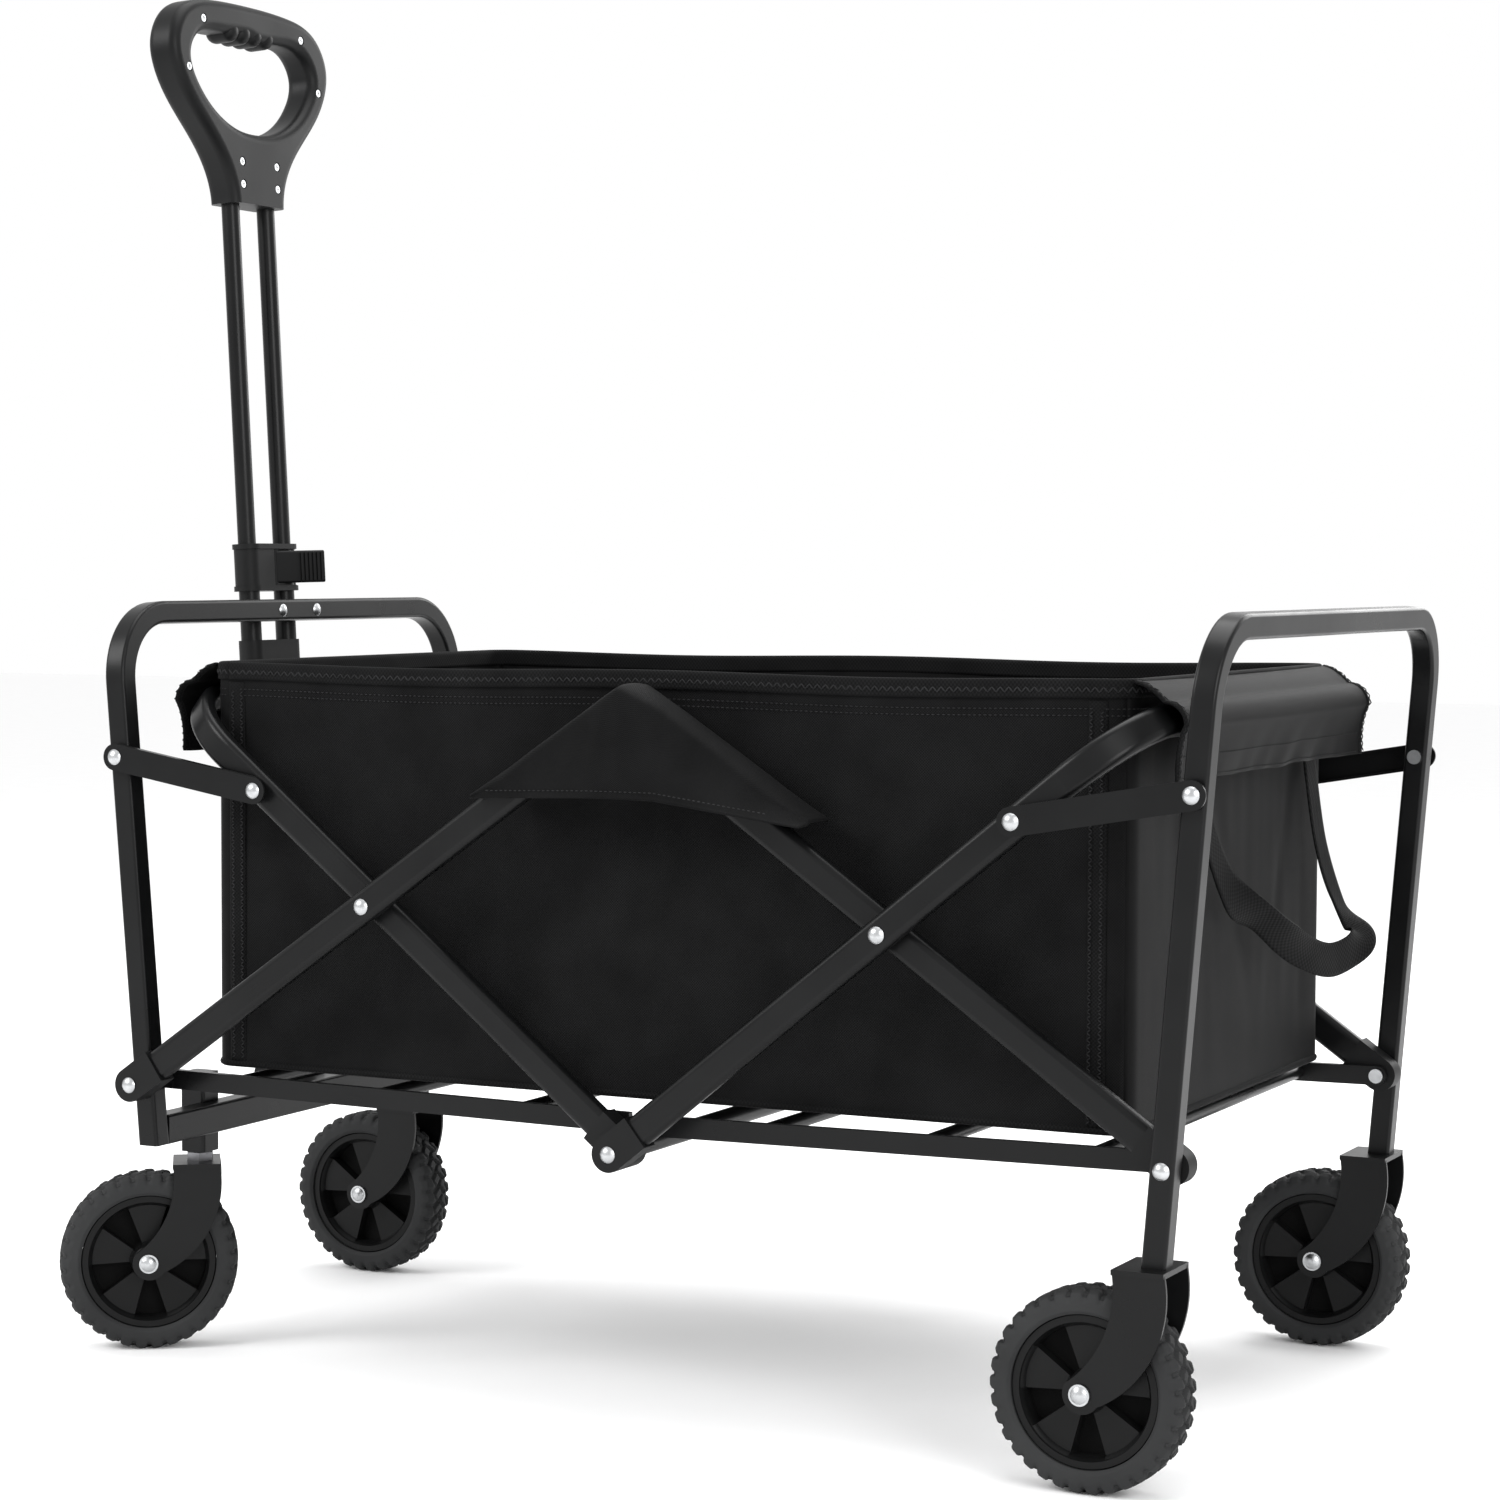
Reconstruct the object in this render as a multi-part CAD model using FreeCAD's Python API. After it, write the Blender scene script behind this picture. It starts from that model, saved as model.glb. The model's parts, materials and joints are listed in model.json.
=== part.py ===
# Folding wagon with a telescoping pull handle. Millimetres, +Z up, ground at Z = 0.
# The handle end is at -X, the fixed rear wheels are at +X, left is -Y and right is +Y.
import FreeCAD, Part
import math
import os

os.makedirs("parts", exist_ok=True)
V = FreeCAD.Vector

# the linkage is drawn about X = 0 and then moved by this much, so that the origin
# lies under the middle of the overall length
originShift = 45.0

# linkage pivots, seen from the side and the same at both ends
pivotX = 450.0          # foot pivot of the long arms, on each leg
pivotZ = 240.0
crossX = 225.0          # rivet where an arm and a loop cross
crossZ = 398.0
bottomZ = 217.0         # lower middle pivot of the two loops, at X = 0
linkX = 335.0           # loop end of the short link
legLinkX = 472.0        # leg end of the short link
legLinkZ = 510.0
frameTopZ = 638.0       # top face of the end frames

# layers across the width, measured from the middle plane
outerY = 280.5          # rear legs, front arms and rear loop
innerY = 260.5          # front legs, rear arms and front loop
floorRearY = 247.5      # rails of the rear floor half
floorFrontY = 240.5     # rails of the front floor half

# sections
legSize = 19.0
legRound = 3.0
legBend = 58.0
wall = 1.2
barHigh = 25.0
barWide = 14.0
barRound = 5.5
loopBend = 68.0
loopTopX = 424.0
capHigh = 28.0
capWide = 18.0
capLong = 30.0
tubeStart = 13.0        # a bar starts this far from its pivot, inside its cap
linkHigh = 22.0
linkDeep = 6.0
linkSheet = 2.0
railHigh = 16.0
railWide = 6.0
railEndX = 6.0
railEndZ = 235.0
floorBarSteps = (70.0, 205.0, 340.0)
floorBarRadius = 6.0

# fasteners
pinRadius = 4.0
running = 0.05          # radial clearance of a pin in a moving part
drillReach = 15.0       # a hole is drilled this far each way from its layer
pastX = 600.0           # beyond the whole object, for cutting tools
pastY = 320.0
openRadius = 7.5        # hole of the lower middle pivot in the front loop's caps
headRadius = 6.5
headHigh = 3.2

# wheels
wheelRadius = 75.5
wheelWide = 40.0
rimRadius = 57.0
tyreBore = 56.0
hubWide = 34.0
boreRadius = 5.0
forkGap = 46.0
forkSheet = 2.5
forkBoss = 13.5
deckProud = 1.5         # the fork's deck stands this far outside its cheeks
bushRadius = 9.0
bushGap = 0.2
hubBoss = 14.0
bossProud = 4.0
ribCount = 10
ribInner = 12.0
ribThick = 3.0
tyreRound = 9.0
rearWheelX = 394.0
rearWheelY = 276.0
stemX = -462.0
stemY = 172.0
trail = 43.5
leftSwivel = 35.0       # how far the left caster is turned from straight ahead
crossLowZ = 186.0
crossHigh = 25.0
socketLowZ = 168.0
socketHigh = 68.0
legFootRearZ = 169.0
legFootFrontZ = 187.0
footSpare = 2.0         # a leg is made this much longer, then cut off level
casterTopZ = 160.0      # top face of the caster forks
stemTopZ = 198.0

# handle
handleFootX = -484.0
handleFootZ = 200.0
handleLean = 3.1        # degrees, forwards
tubeSpread = 27.5
outerTubeRadius = 9.25
innerTubeRadius = 8.0
lockLow = 446.0         # along the handle from its foot pivot
lockHigh = 42.0
innerTubeLow = 380.0
neckLow = 790.0
neckSocket = 45.0       # how far the inner tubes go into the grip
collarLow = 366.0
collarHigh = 36.0

# basket and its soft trim
basketX = 405.0
basketY = 235.5
basketLowZ = 253.0
basketTopZ = 588.0
cloth = 2.0
basketCorner = 20.0
nutRadius = 12.0

angleArm = math.degrees(math.atan2(crossZ - pivotZ, pivotX - crossX))
angleLoop = math.degrees(math.atan2(crossZ - bottomZ, crossX))
topZ = pivotZ + pivotX * math.tan(math.radians(angleArm))
linkZ = bottomZ + linkX * math.tan(math.radians(angleLoop))
loopTopZ = bottomZ + loopTopX * math.tan(math.radians(angleLoop))
legSlope = (legLinkX - pivotX) / (legLinkZ - pivotZ)


def legX(z):
    return pivotX + (z - pivotZ) * legSlope


def save(name, *solids):
    found = []
    for s in solids:
        found += s.Solids
    shape = Part.makeCompound(found) if len(found) > 1 else found[0].copy()
    shape.translate(V(originShift, 0, 0))
    shape.exportStep("parts/%s.step" % name)
    print(name, len(found), round(shape.Volume / 1000.0, 1), "cm3", shape.isValid())


def box(x0, x1, y0, y1, z0, z1):
    return Part.makeBox(x1 - x0, y1 - y0, z1 - z0, V(x0, y0, z0))


def rodY(x, z, radius, y0, y1):
    low, high = min(y0, y1), max(y0, y1)
    return Part.makeCylinder(radius, high - low, V(x, low, z), V(0, 1, 0))


def rodZ(x, y, radius, z0, z1):
    return Part.makeCylinder(radius, z1 - z0, V(x, y, z0), V(0, 0, 1))


def roundedWire(centre, e1, e2, a, b, r):
    """Closed outline of a rounded rectangle, a along e1 and b along e2."""
    edges = []
    last = None
    first = None
    for sa, sb in ((1, 1), (-1, 1), (-1, -1), (1, -1)):
        mid = centre + e1 * (sa * (a / 2 - r)) + e2 * (sb * (b / 2 - r))
        one = mid + e1 * (sa * r)
        two = mid + e2 * (sb * r)
        if sa * sb < 0:
            one, two = two, one
        between = mid + (e1 * sa + e2 * sb) * (r / math.sqrt(2))
        if last is not None and (one - last).Length > 1e-6:
            edges.append(Part.makeLine(last, one))
        edges.append(Part.Arc(one, between, two).toShape())
        first = first or one
        last = two
    if (first - last).Length > 1e-6:
        edges.append(Part.makeLine(last, first))
    return Part.Wire(edges)


def bentPath(points, radius):
    """Straight runs joined by tangent arcs of one radius."""
    edges = []
    start = points[0]
    for before, corner, after in zip(points, points[1:], points[2:]):
        u = (before - corner).normalize()
        v = (after - corner).normalize()
        half = math.acos(max(-1.0, min(1.0, u.dot(v)))) / 2
        back = radius / math.tan(half)
        one = corner + u * back
        two = corner + v * back
        axis = (u + v).normalize()
        middle = corner + axis * (radius / math.sin(half) - radius)
        edges.append(Part.makeLine(start, one))
        edges.append(Part.Arc(one, middle, two).toShape())
        start = two
    edges.append(Part.makeLine(start, points[-1]))
    return Part.Wire(edges)


def tubeAlong(path, start, e1, e2, a, b, r):
    """Hollow rounded-rectangle tube swept along a planar path."""
    outer = path.makePipeShell([roundedWire(start, e1, e2, a, b, r)], True, False)
    inner = path.makePipeShell(
        [roundedWire(start, e1, e2, a - 2 * wall, b - 2 * wall, r - wall)], True, False
    )
    return outer.cut(inner)


def stadiumY(x, z, angle, length, high, y0, y1):
    """Plate in the XZ plane with one round end at x, z and the other end square."""
    low, high2 = min(y0, y1), max(y0, y1)
    block = Part.makeBox(length, high2 - low, high, V(0, low, -high / 2))
    block = block.fuse(rodY(0, 0, high / 2, low, high2)).removeSplitter()
    block.rotate(V(0, 0, 0), V(0, 1, 0), -angle)
    block.translate(V(x, 0, z))
    return block


def rivet(x, z, side, layers):
    """Pin along Y. layers are (radius, from, to) away from the middle plane; the last one ends in a dome."""
    shape = None
    for radius, y0, y1 in layers:
        part = rodY(x, z, radius, side * y0, side * y1)
        shape = part if shape is None else shape.fuse(part)
    top = layers[-1][2]
    ball = (headRadius * headRadius + headHigh * headHigh) / (2 * headHigh)
    dome = Part.makeSphere(ball, V(x, side * (top + headHigh - ball), z))
    shape = shape.fuse(dome.common(rodY(x, z, headRadius, side * top, side * (top + headHigh))))
    return shape.removeSplitter()


def eachSide(make):
    return [make(-1), make(1)]


# ---------- end frames ----------

def endFrame(end, y, footZ):
    """Square tube bent into an upside-down U that leans outwards a little."""
    top = frameTopZ - legSize / 2
    points = [
        V(end * legX(footZ), -y, footZ),
        V(end * legX(top), -y, top),
        V(end * legX(top), y, top),
        V(end * legX(footZ), y, footZ),
    ]
    run = (points[1] - points[0]).normalize()
    across = V(0, 1, 0)
    return tubeAlong(
        bentPath(points, legBend), points[0], across.cross(run), across, legSize, legSize, legRound
    )


def drillY(shape, x, z, radius, y):
    """Drills both sides along Y, through the layer at y from the middle plane."""
    for side in (-1, 1):
        shape = shape.cut(rodY(x, z, radius, side * (y - drillReach), side * (y + drillReach)))
    return shape


def levelFoot(tube, footZ):
    """Cuts the leaning legs off level at the foot."""
    return tube.cut(box(-pastX, pastX, -pastY, pastY, footZ - 4 * footSpare, footZ))


rearTube = levelFoot(endFrame(1, outerY, legFootRearZ - footSpare), legFootRearZ)
rearTube = drillY(rearTube, pivotX, pivotZ, pinRadius, outerY)
rearTube = drillY(rearTube, legLinkX, legLinkZ, pinRadius + running, outerY)
save("rear_frame_tube", rearTube)

frontTube = levelFoot(endFrame(-1, innerY, legFootFrontZ - footSpare), legFootFrontZ)
frontTube = drillY(frontTube, -pivotX, pivotZ, pinRadius, innerY)
frontTube = drillY(frontTube, -legLinkX, legLinkZ, pinRadius + running, innerY)
clipSpread = 27.0
clipPlay = 0.9
clipHalf = 42.0
clipLow = 9.0
clipHigh = 7.0
clipSheet = 3.0
jawHalf = 12.5
clipPin = 2.5
clipX = -legX(frameTopZ - legSize / 2)
clipZ = frameTopZ - legSize / 2
for side in (-1, 1):
    hole = Part.makeCylinder(clipPin, 2 * legSize, V(clipX - legSize, side * clipSpread, clipZ), V(1, 0, 0))
    frontTube = frontTube.cut(hole)
save("front_frame_tube", frontTube)

# cross-member between the front legs, with the two caster sockets through it
memberX = -legX(crossLowZ + crossHigh / 2)
memberHalf = innerY - legSize / 2
memberMid = V(memberX, -memberHalf, crossLowZ + crossHigh / 2)
memberRound = 2.5
memberWall = 1.5
member = Part.Face(roundedWire(memberMid, V(1, 0, 0), V(0, 0, 1), legSize, crossHigh, memberRound))
member = member.extrude(V(0, 2 * memberHalf, 0))
hollow = roundedWire(memberMid, V(1, 0, 0), V(0, 0, 1), legSize - 2 * memberWall,
                     crossHigh - 2 * memberWall, memberRound - memberWall)
member = member.cut(Part.Face(hollow).extrude(V(0, 2 * memberHalf, 0)))
socketSize = 24.0
stemRadius = 6.0
sockets = []
for side in (-1, 1):
    y = side * stemY
    socket = Part.Face(
        roundedWire(V(stemX, y, socketLowZ), V(1, 0, 0), V(0, 1, 0), socketSize, socketSize, 3)
    ).extrude(V(0, 0, socketHigh))
    member = member.cut(socket)
    sockets.append(socket.cut(rodZ(stemX, y, stemRadius + running, casterTopZ, stemTopZ + 2)))
handleEarY = 41.0
earSheet = 3.0
earHigh = 20.0
ears = []
for side in (-1, 1):
    ear = stadiumY(
        handleFootX, handleFootZ, 0, memberX - legSize / 2 - handleFootX, earHigh,
        side * handleEarY, side * (handleEarY + earSheet),
    )
    ears.append(ear.cut(rodY(handleFootX, handleFootZ, pinRadius, -pastY, pastY)))
save("front_cross_member", member)
save("caster_sockets", *sockets)
save("handle_bracket", *ears)

# snap clip on the front top bar, open towards the front
frontFace = clipX - legSize / 2
clipAxisX = handleFootX - (clipZ - handleFootZ) * math.tan(math.radians(handleLean))
clipBottom = clipZ - clipLow
clipTop = clipZ + clipHigh
clip = box(frontFace - clipSheet, frontFace, -clipHalf, clipHalf, clipBottom, clipTop)
for side in (-1, 1):
    y = side * tubeSpread
    jaw = box(clipAxisX - 2, frontFace, y - jawHalf, y + jawHalf, clipBottom, clipTop)
    clip = clip.fuse(jaw)
for side in (-1, 1):
    y = side * tubeSpread
    clip = clip.cut(rodZ(clipAxisX, y, outerTubeRadius + clipPlay, clipBottom, clipTop))
    low, high = y - outerTubeRadius, y + outerTubeRadius
    clip = clip.cut(box(clipAxisX - 2 * jawHalf, clipAxisX, low, high, clipBottom, clipTop))
clipRivets = []
clipDome = 8.0
domeHigh = 2.6
domeWide = 6.0
clipTail = 0.8
for side in (-1, 1):
    y = side * clipSpread
    back = frontFace + legSize
    front = frontFace - clipSheet
    shank = Part.makeCylinder(clipPin, legSize + clipSheet, V(front, y, clipZ), V(1, 0, 0))
    tailEnd = Part.makeCylinder(2 * clipPin, clipTail, V(front - clipTail, y, clipZ), V(1, 0, 0))
    ball = Part.makeSphere(clipDome, V(back + domeHigh - clipDome, y, clipZ))
    head = ball.common(Part.makeCylinder(domeWide, domeHigh, V(back, y, clipZ), V(1, 0, 0)))
    clipRivet = shank.fuse([tailEnd, head]).removeSplitter().cut(frontTube)
    clip = clip.cut(clipRivet)
    clipRivets.append(clipRivet)
save("handle_clip", clip.cut(frontTube).removeSplitter())

# ---------- scissor bars ----------

def bar(x0, z0, x1, z1, y):
    """Straight flat-oval bar between two pivots, its ends held in caps."""
    run = V(x1 - x0, 0, z1 - z0)
    length = run.Length
    e = run.normalize()
    start = V(x0, y, z0) + e * tubeStart
    path = Part.Wire([Part.makeLine(start, start + e * (length - 2 * tubeStart))])
    normal = V(-e.z, 0, e.x)
    return tubeAlong(path, start, normal, V(0, 1, 0), barHigh, barWide, barRound)


def cap(x, z, angle, side, y, holeRadius):
    """Plastic end cap: a round nose at the pivot and a socket that holds the bar."""
    y0 = side * (y - capWide / 2)
    y1 = side * (y + capWide / 2)
    shape = stadiumY(x, z, angle, capLong, capHigh, y0, y1)
    e = V(math.cos(math.radians(angle)), 0, math.sin(math.radians(angle)))
    start = V(x, side * y, z) + e * tubeStart
    mouth = roundedWire(start, V(-e.z, 0, e.x), V(0, 1, 0), barHigh, barWide, barRound)
    shape = shape.cut(Part.Face(mouth).extrude(e * 2 * capLong))
    return drillY(shape, x, z, holeRadius, y)


def loop(end, y):
    """Flat-oval bar bent into a U across the wagon end, lying in the slanted plane."""
    e = V(end * math.cos(math.radians(angleLoop)), 0, math.sin(math.radians(angleLoop)))
    bottom = V(0, 0, bottomZ)
    low = bottom + e * tubeStart
    high = V(end * loopTopX, 0, loopTopZ)
    points = [low + V(0, -y, 0), high + V(0, -y, 0), high + V(0, y, 0), low + V(0, y, 0)]
    normal = V(-e.z, 0, e.x)
    return tubeAlong(bentPath(points, loopBend), points[0], normal, V(0, 1, 0), barHigh, barWide, barRound)


rearLoop = drillY(loop(1, outerY), crossX, crossZ, pinRadius + running, outerY)
save("rear_loop_tube", rearLoop)
frontLoop = drillY(loop(-1, innerY), -crossX, crossZ, pinRadius + running, innerY)
save("front_loop_tube", frontLoop)

rearArmCaps = []
frontArmCaps = []
rearLoopCaps = []
frontLoopCaps = []
for side, name in ((-1, "left"), (1, "right")):
    rearArm = bar(pivotX, pivotZ, 0, topZ, side * innerY)
    save("rear_arm_" + name, drillY(rearArm, crossX, crossZ, pinRadius, innerY))
    frontArm = bar(-pivotX, pivotZ, 0, topZ, side * outerY)
    save("front_arm_" + name, drillY(frontArm, -crossX, crossZ, pinRadius, outerY))
    rearArmCaps.append(cap(pivotX, pivotZ, 180 - angleArm, side, innerY, pinRadius + running))
    rearArmCaps.append(cap(0, topZ, -angleArm, side, innerY, pinRadius))
    frontArmCaps.append(cap(-pivotX, pivotZ, angleArm, side, outerY, pinRadius + running))
    frontArmCaps.append(cap(0, topZ, 180 + angleArm, side, outerY, pinRadius + running))
    rearLoopCaps.append(cap(0, bottomZ, angleLoop, side, outerY, pinRadius))
    frontLoopCaps.append(cap(0, bottomZ, 180 - angleLoop, side, innerY, openRadius))
save("rear_arm_caps", *rearArmCaps)
save("front_arm_caps", *frontArmCaps)
save("rear_loop_caps", *rearLoopCaps)
save("front_loop_caps", *frontLoopCaps)

# cross tube under the floor, carried on the lower pivot screws
crossTubeRadius = 8.0
crossTubeEnd = 249.0
crossTube = rodY(0, bottomZ, crossTubeRadius, -crossTubeEnd, crossTubeEnd)
crossTube = crossTube.cut(rodY(0, bottomZ, crossTubeRadius - 1.5, -crossTubeEnd + 20, crossTubeEnd - 20))
for side in (-1, 1):
    crossTube = crossTube.cut(rodY(0, bottomZ, pinRadius, side * (crossTubeEnd - 25), side * 260))
save("bottom_cross_tube", crossTube)

# ---------- rivets and bolts ----------
legOut = outerY + legSize / 2
barOut = outerY + barWide / 2
capOut = outerY + capWide / 2
gapLow = innerY + barWide / 2 + 0.2
gapHigh = outerY - barWide / 2 - 0.2
innerFace = innerY - barWide / 2


def tail(y, reach=2.5):
    return (6.0, y - reach, y)


def crossRivet(x, fixedInner):
    """Rivet through a crossing of two bars, with the spacer collar between them."""
    def make(side):
        lowGap = 0.0 if fixedInner else 0.3
        highGap = 0.3 if fixedInner else 0.0
        return rivet(x, crossZ, side, [
            tail(innerFace - lowGap), (pinRadius, innerFace - lowGap, barOut + highGap),
            (9.0, gapLow, gapHigh), (headRadius, barOut + highGap, barOut + highGap + 0.4),
        ])
    return eachSide(make)


topBolts = eachSide(lambda side: rivet(0, topZ, side, [
    tail(innerY - capWide / 2), (pinRadius, innerY - capWide / 2, capOut + 0.3),
    (headRadius, capOut + 0.3, capOut + 0.7),
]))
save("rear_arm_rivets", *crossRivet(crossX, True), *topBolts)
save("front_arm_rivets", *crossRivet(-crossX, False))

rearPivots = eachSide(lambda side: rivet(pivotX, pivotZ, side, [
    (6.0, floorRearY - 6, floorRearY - 3.4), (pinRadius, floorRearY - 3.4, legOut),
    (headRadius, legOut, legOut + 0.4),
]))
save("rear_pivot_bolts", *rearPivots)

frontPivots = eachSide(lambda side: rivet(-pivotX, pivotZ, side, [
    (6.0, floorFrontY - 6, floorFrontY - 3.4), (pinRadius, floorFrontY - 3.4, capOut + 0.3),
    (headRadius, capOut + 0.3, capOut + 0.7),
]))
save("front_frame_rivets", *frontPivots, *clipRivets)

bottomScrews = eachSide(lambda side: rivet(0, bottomZ, side, [
    (pinRadius, crossTubeEnd - 12, capOut), (headRadius, capOut, capOut + 0.4),
]))
save("bottom_pivot_screws", *bottomScrews)


def links(end, legY, loopY):
    """Short pressed links from the legs to the loops, with their rivets."""
    plates = []
    rivets = []
    faceIn = legY + legSize / 2 + 1.0
    run = V(end * (linkX - legLinkX), 0, linkZ - legLinkZ)
    length = run.Length
    angle = math.degrees(math.atan2(run.z, run.x))
    for side in (-1, 1):
        plate = box(0, length, faceIn + linkDeep - linkSheet, faceIn + linkDeep, -linkHigh / 2, linkHigh / 2)
        for x in (0, length):
            plate = plate.fuse(rodY(x, 0, linkHigh / 2, faceIn + linkDeep - linkSheet, faceIn + linkDeep))
        for z in (-1, 1):
            low = min(z * linkHigh / 2, z * (linkHigh / 2 - linkSheet))
            plate = plate.fuse(box(0, length, faceIn, faceIn + linkDeep, low, low + linkSheet))
        for x in (0, length):
            plate = plate.fuse(rodY(x, 0, 8.0, faceIn, faceIn + linkDeep))
            plate = plate.cut(rodY(x, 0, pinRadius, faceIn - 5, faceIn + 20))
        plate = plate.removeSplitter()
        if side < 0:
            plate = plate.mirror(V(0, 0, 0), V(0, 1, 0))
        plate.rotate(V(0, 0, 0), V(0, 1, 0), -angle)
        plate.translate(V(end * legLinkX, 0, legLinkZ))
        plates.append(plate)
        legFace = legY - legSize / 2
        out = faceIn + linkDeep
        rivets.append(rivet(end * legLinkX, legLinkZ, side, [
            tail(legFace - 0.3), (pinRadius, legFace - 0.3, out), (headRadius, out, out + 0.4),
        ]))
        rivets.append(rivet(end * linkX, linkZ, side, [
            (pinRadius, loopY + barWide / 2 + 1.0, out), (headRadius, out, out + 0.4),
        ]))
    return plates, rivets


for end, word, legY, loopY in ((1, "rear", outerY, outerY), (-1, "front", innerY, innerY)):
    plates, rivets = links(end, legY, loopY)
    save(word + "_links", *plates)
    save(word + "_link_rivets", *rivets)

# ---------- floor halves ----------

def floorHalf(end, y):
    """Two rails hinged on the foot pivots and three bars across under the basket."""
    run = V(end * (railEndX - pivotX), 0, railEndZ - pivotZ)
    length = run.Length
    angle = math.degrees(math.atan2(run.z, run.x))
    shape = None
    for side in (-1, 1):
        rail = stadiumY(end * pivotX, pivotZ, angle, length, railHigh,
                        side * (y - railWide / 2), side * (y + railWide / 2))
        rail = rail.cut(rodY(end * pivotX, pivotZ, pinRadius + running, side * 220, side * 260))
        shape = rail if shape is None else shape.fuse(rail)
    e = run.normalize()
    for step in floorBarSteps:
        x = end * pivotX + e.x * step
        z = pivotZ + e.z * step
        rod = rodY(x, z, floorBarRadius, -(y - railWide / 2), y - railWide / 2)
        bore = rodY(x, z, floorBarRadius - wall, -(y - railWide / 2), y - railWide / 2)
        shape = shape.fuse(rod).cut(bore)
    return shape.removeSplitter()


save("rear_floor_frame", floorHalf(1, floorRearY))
save("front_floor_frame", floorHalf(-1, floorFrontY))

# ---------- wheels, forks and casters ----------

def ring(x, y, z, outer, inner, wide):
    return rodY(x, z, outer, y - wide / 2, y + wide / 2).cut(rodY(x, z, inner, y - wide / 2, y + wide / 2))


def wheel(x, y, z, turn):
    """Tyre and hub, centred at x, y, z with the axle turned about Z."""
    tyre = ring(x, y, z, wheelRadius, tyreBore, wheelWide)
    edges = []
    for edge in tyre.Edges:
        curve = edge.Curve
        if isinstance(curve, Part.Circle) and abs(curve.Radius - wheelRadius) < 0.01:
            edges.append(edge)
    tyre = tyre.makeFillet(tyreRound, edges)
    bossHalf = hubWide / 2 + bossProud
    ribHalf = hubWide / 2 - ribThick
    hub = ring(x, y, z, tyreBore, rimRadius - 7.0, hubWide)
    hub = hub.fuse(rodY(x, z, rimRadius - 6.0, y - bossProud, y + bossProud))
    hub = hub.fuse(rodY(x, z, hubBoss, y - bossHalf, y + bossHalf))
    for n in range(ribCount):
        rib = box(ribInner, rimRadius - 6.0, -ribHalf, ribHalf, -ribThick / 2, ribThick / 2)
        rib.rotate(V(0, 0, 0), V(0, 1, 0), 360.0 / ribCount * n)
        rib.translate(V(x, y, z))
        hub = hub.fuse(rib)
    hub = hub.cut(rodY(x, z, boreRadius + running, y - bossHalf, y + bossHalf)).removeSplitter()
    for shape in (tyre, hub):
        shape.rotate(V(x, y, z), V(0, 0, 1), turn)
    return tyre, hub


def arcPlate(points, thick):
    """Closed plate in the XZ plane, from a list of points with None before each arc's middle point."""
    edges = []
    n = 0
    while n < len(points) - 1:
        if points[n + 1][0] == "arc":
            edges.append(Part.Arc(V(points[n][1], 0, points[n][2]), V(points[n + 1][1], 0, points[n + 1][2]),
                                  V(points[n + 2][1], 0, points[n + 2][2])).toShape())
            n += 2
        else:
            edges.append(Part.makeLine(V(points[n][1], 0, points[n][2]),
                                       V(points[n + 1][1], 0, points[n + 1][2])))
            n += 1
    return Part.Face(Part.Wire(edges)).extrude(V(0, thick, 0))


def fork(offset, up, plateAhead, plateBack):
    """Pressed fork with its axle at the origin and its top plate, at height up, offset along +X."""
    back = offset - plateBack
    ahead = offset + plateAhead
    outline = [
        ("p", back, up), ("p", ahead, up),
        ("arc", ahead - 9.0, up * 0.34), ("p", forkBoss * 0.94, -forkBoss * 0.60),
        ("arc", -forkBoss * 0.30, -forkBoss), ("p", -forkBoss * 0.86, forkBoss * 0.55),
        ("arc", back - 5.5, up * 0.48), ("p", back, up),
    ]
    shape = None
    for side in (-1, 1):
        cheek = arcPlate(outline, forkSheet)
        y = forkGap / 2 if side > 0 else -forkGap / 2 - forkSheet
        cheek.translate(V(0, y, 0))
        shape = cheek if shape is None else shape.fuse(cheek)
    half = forkGap / 2 + forkSheet
    half += deckProud
    deck = box(offset - plateBack, offset + plateAhead, -half, half, up - forkSheet, up + deckProud)
    shape = shape.fuse(deck)
    shape = shape.cut(rodY(0, 0, boreRadius, -half, half))
    return shape.removeSplitter()


washerThick = 2.0
washerRadius = 8.0
domeProud = 3.0
domeBall = 9.0


def axle():
    """Axle bolt with a washer and a domed head at both ends."""
    washer = forkGap / 2 + forkSheet + bushGap
    bolt = rodY(0, 0, boreRadius, -washer, washer)
    for side in (-1, 1):
        face = washer + washerThick
        top = face + domeProud
        bolt = bolt.fuse(rodY(0, 0, washerRadius, side * washer, side * face))
        dome = Part.makeSphere(domeBall, V(0, side * (top - domeBall), 0))
        bolt = bolt.fuse(dome.common(rodY(0, 0, headRadius, side * face, side * top)))
    return bolt.removeSplitter()


def spacers():
    """Bushes that centre the hub between the fork cheeks."""
    found = []
    for side in (-1, 1):
        low = hubWide / 2 + bossProud + bushGap
        bush = rodY(0, 0, bushRadius, side * low, side * forkGap / 2)
        found.append(bush.cut(rodY(0, 0, boreRadius, side * low, side * forkGap / 2)))
    return found


def place(shapes, x, y, z, turn):
    found = []
    for shape in shapes:
        copy = shape.copy()
        copy.rotate(V(0, 0, 0), V(0, 0, 1), turn)
        copy.translate(V(x, y, z))
        found.append(copy)
    return found


rearOffset = legX(legFootRearZ) - rearWheelX
rearPlateTop = legFootRearZ - wheelRadius - deckProud
rearAxles = []
for side, name in ((-1, "left"), (1, "right")):
    save("rear_fork_" + name, *place([fork(rearOffset, rearPlateTop, 13, 27)],
                                     rearWheelX, side * rearWheelY, wheelRadius, 0))
    rearAxles += place([axle()] + spacers(), rearWheelX, side * rearWheelY, wheelRadius, 0)
    tyre, hub = wheel(rearWheelX, side * rearWheelY, wheelRadius, 0)
    save("rear_tyre_" + name, tyre)
    save("rear_hub_" + name, hub)
save("rear_axles", *rearAxles)

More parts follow.
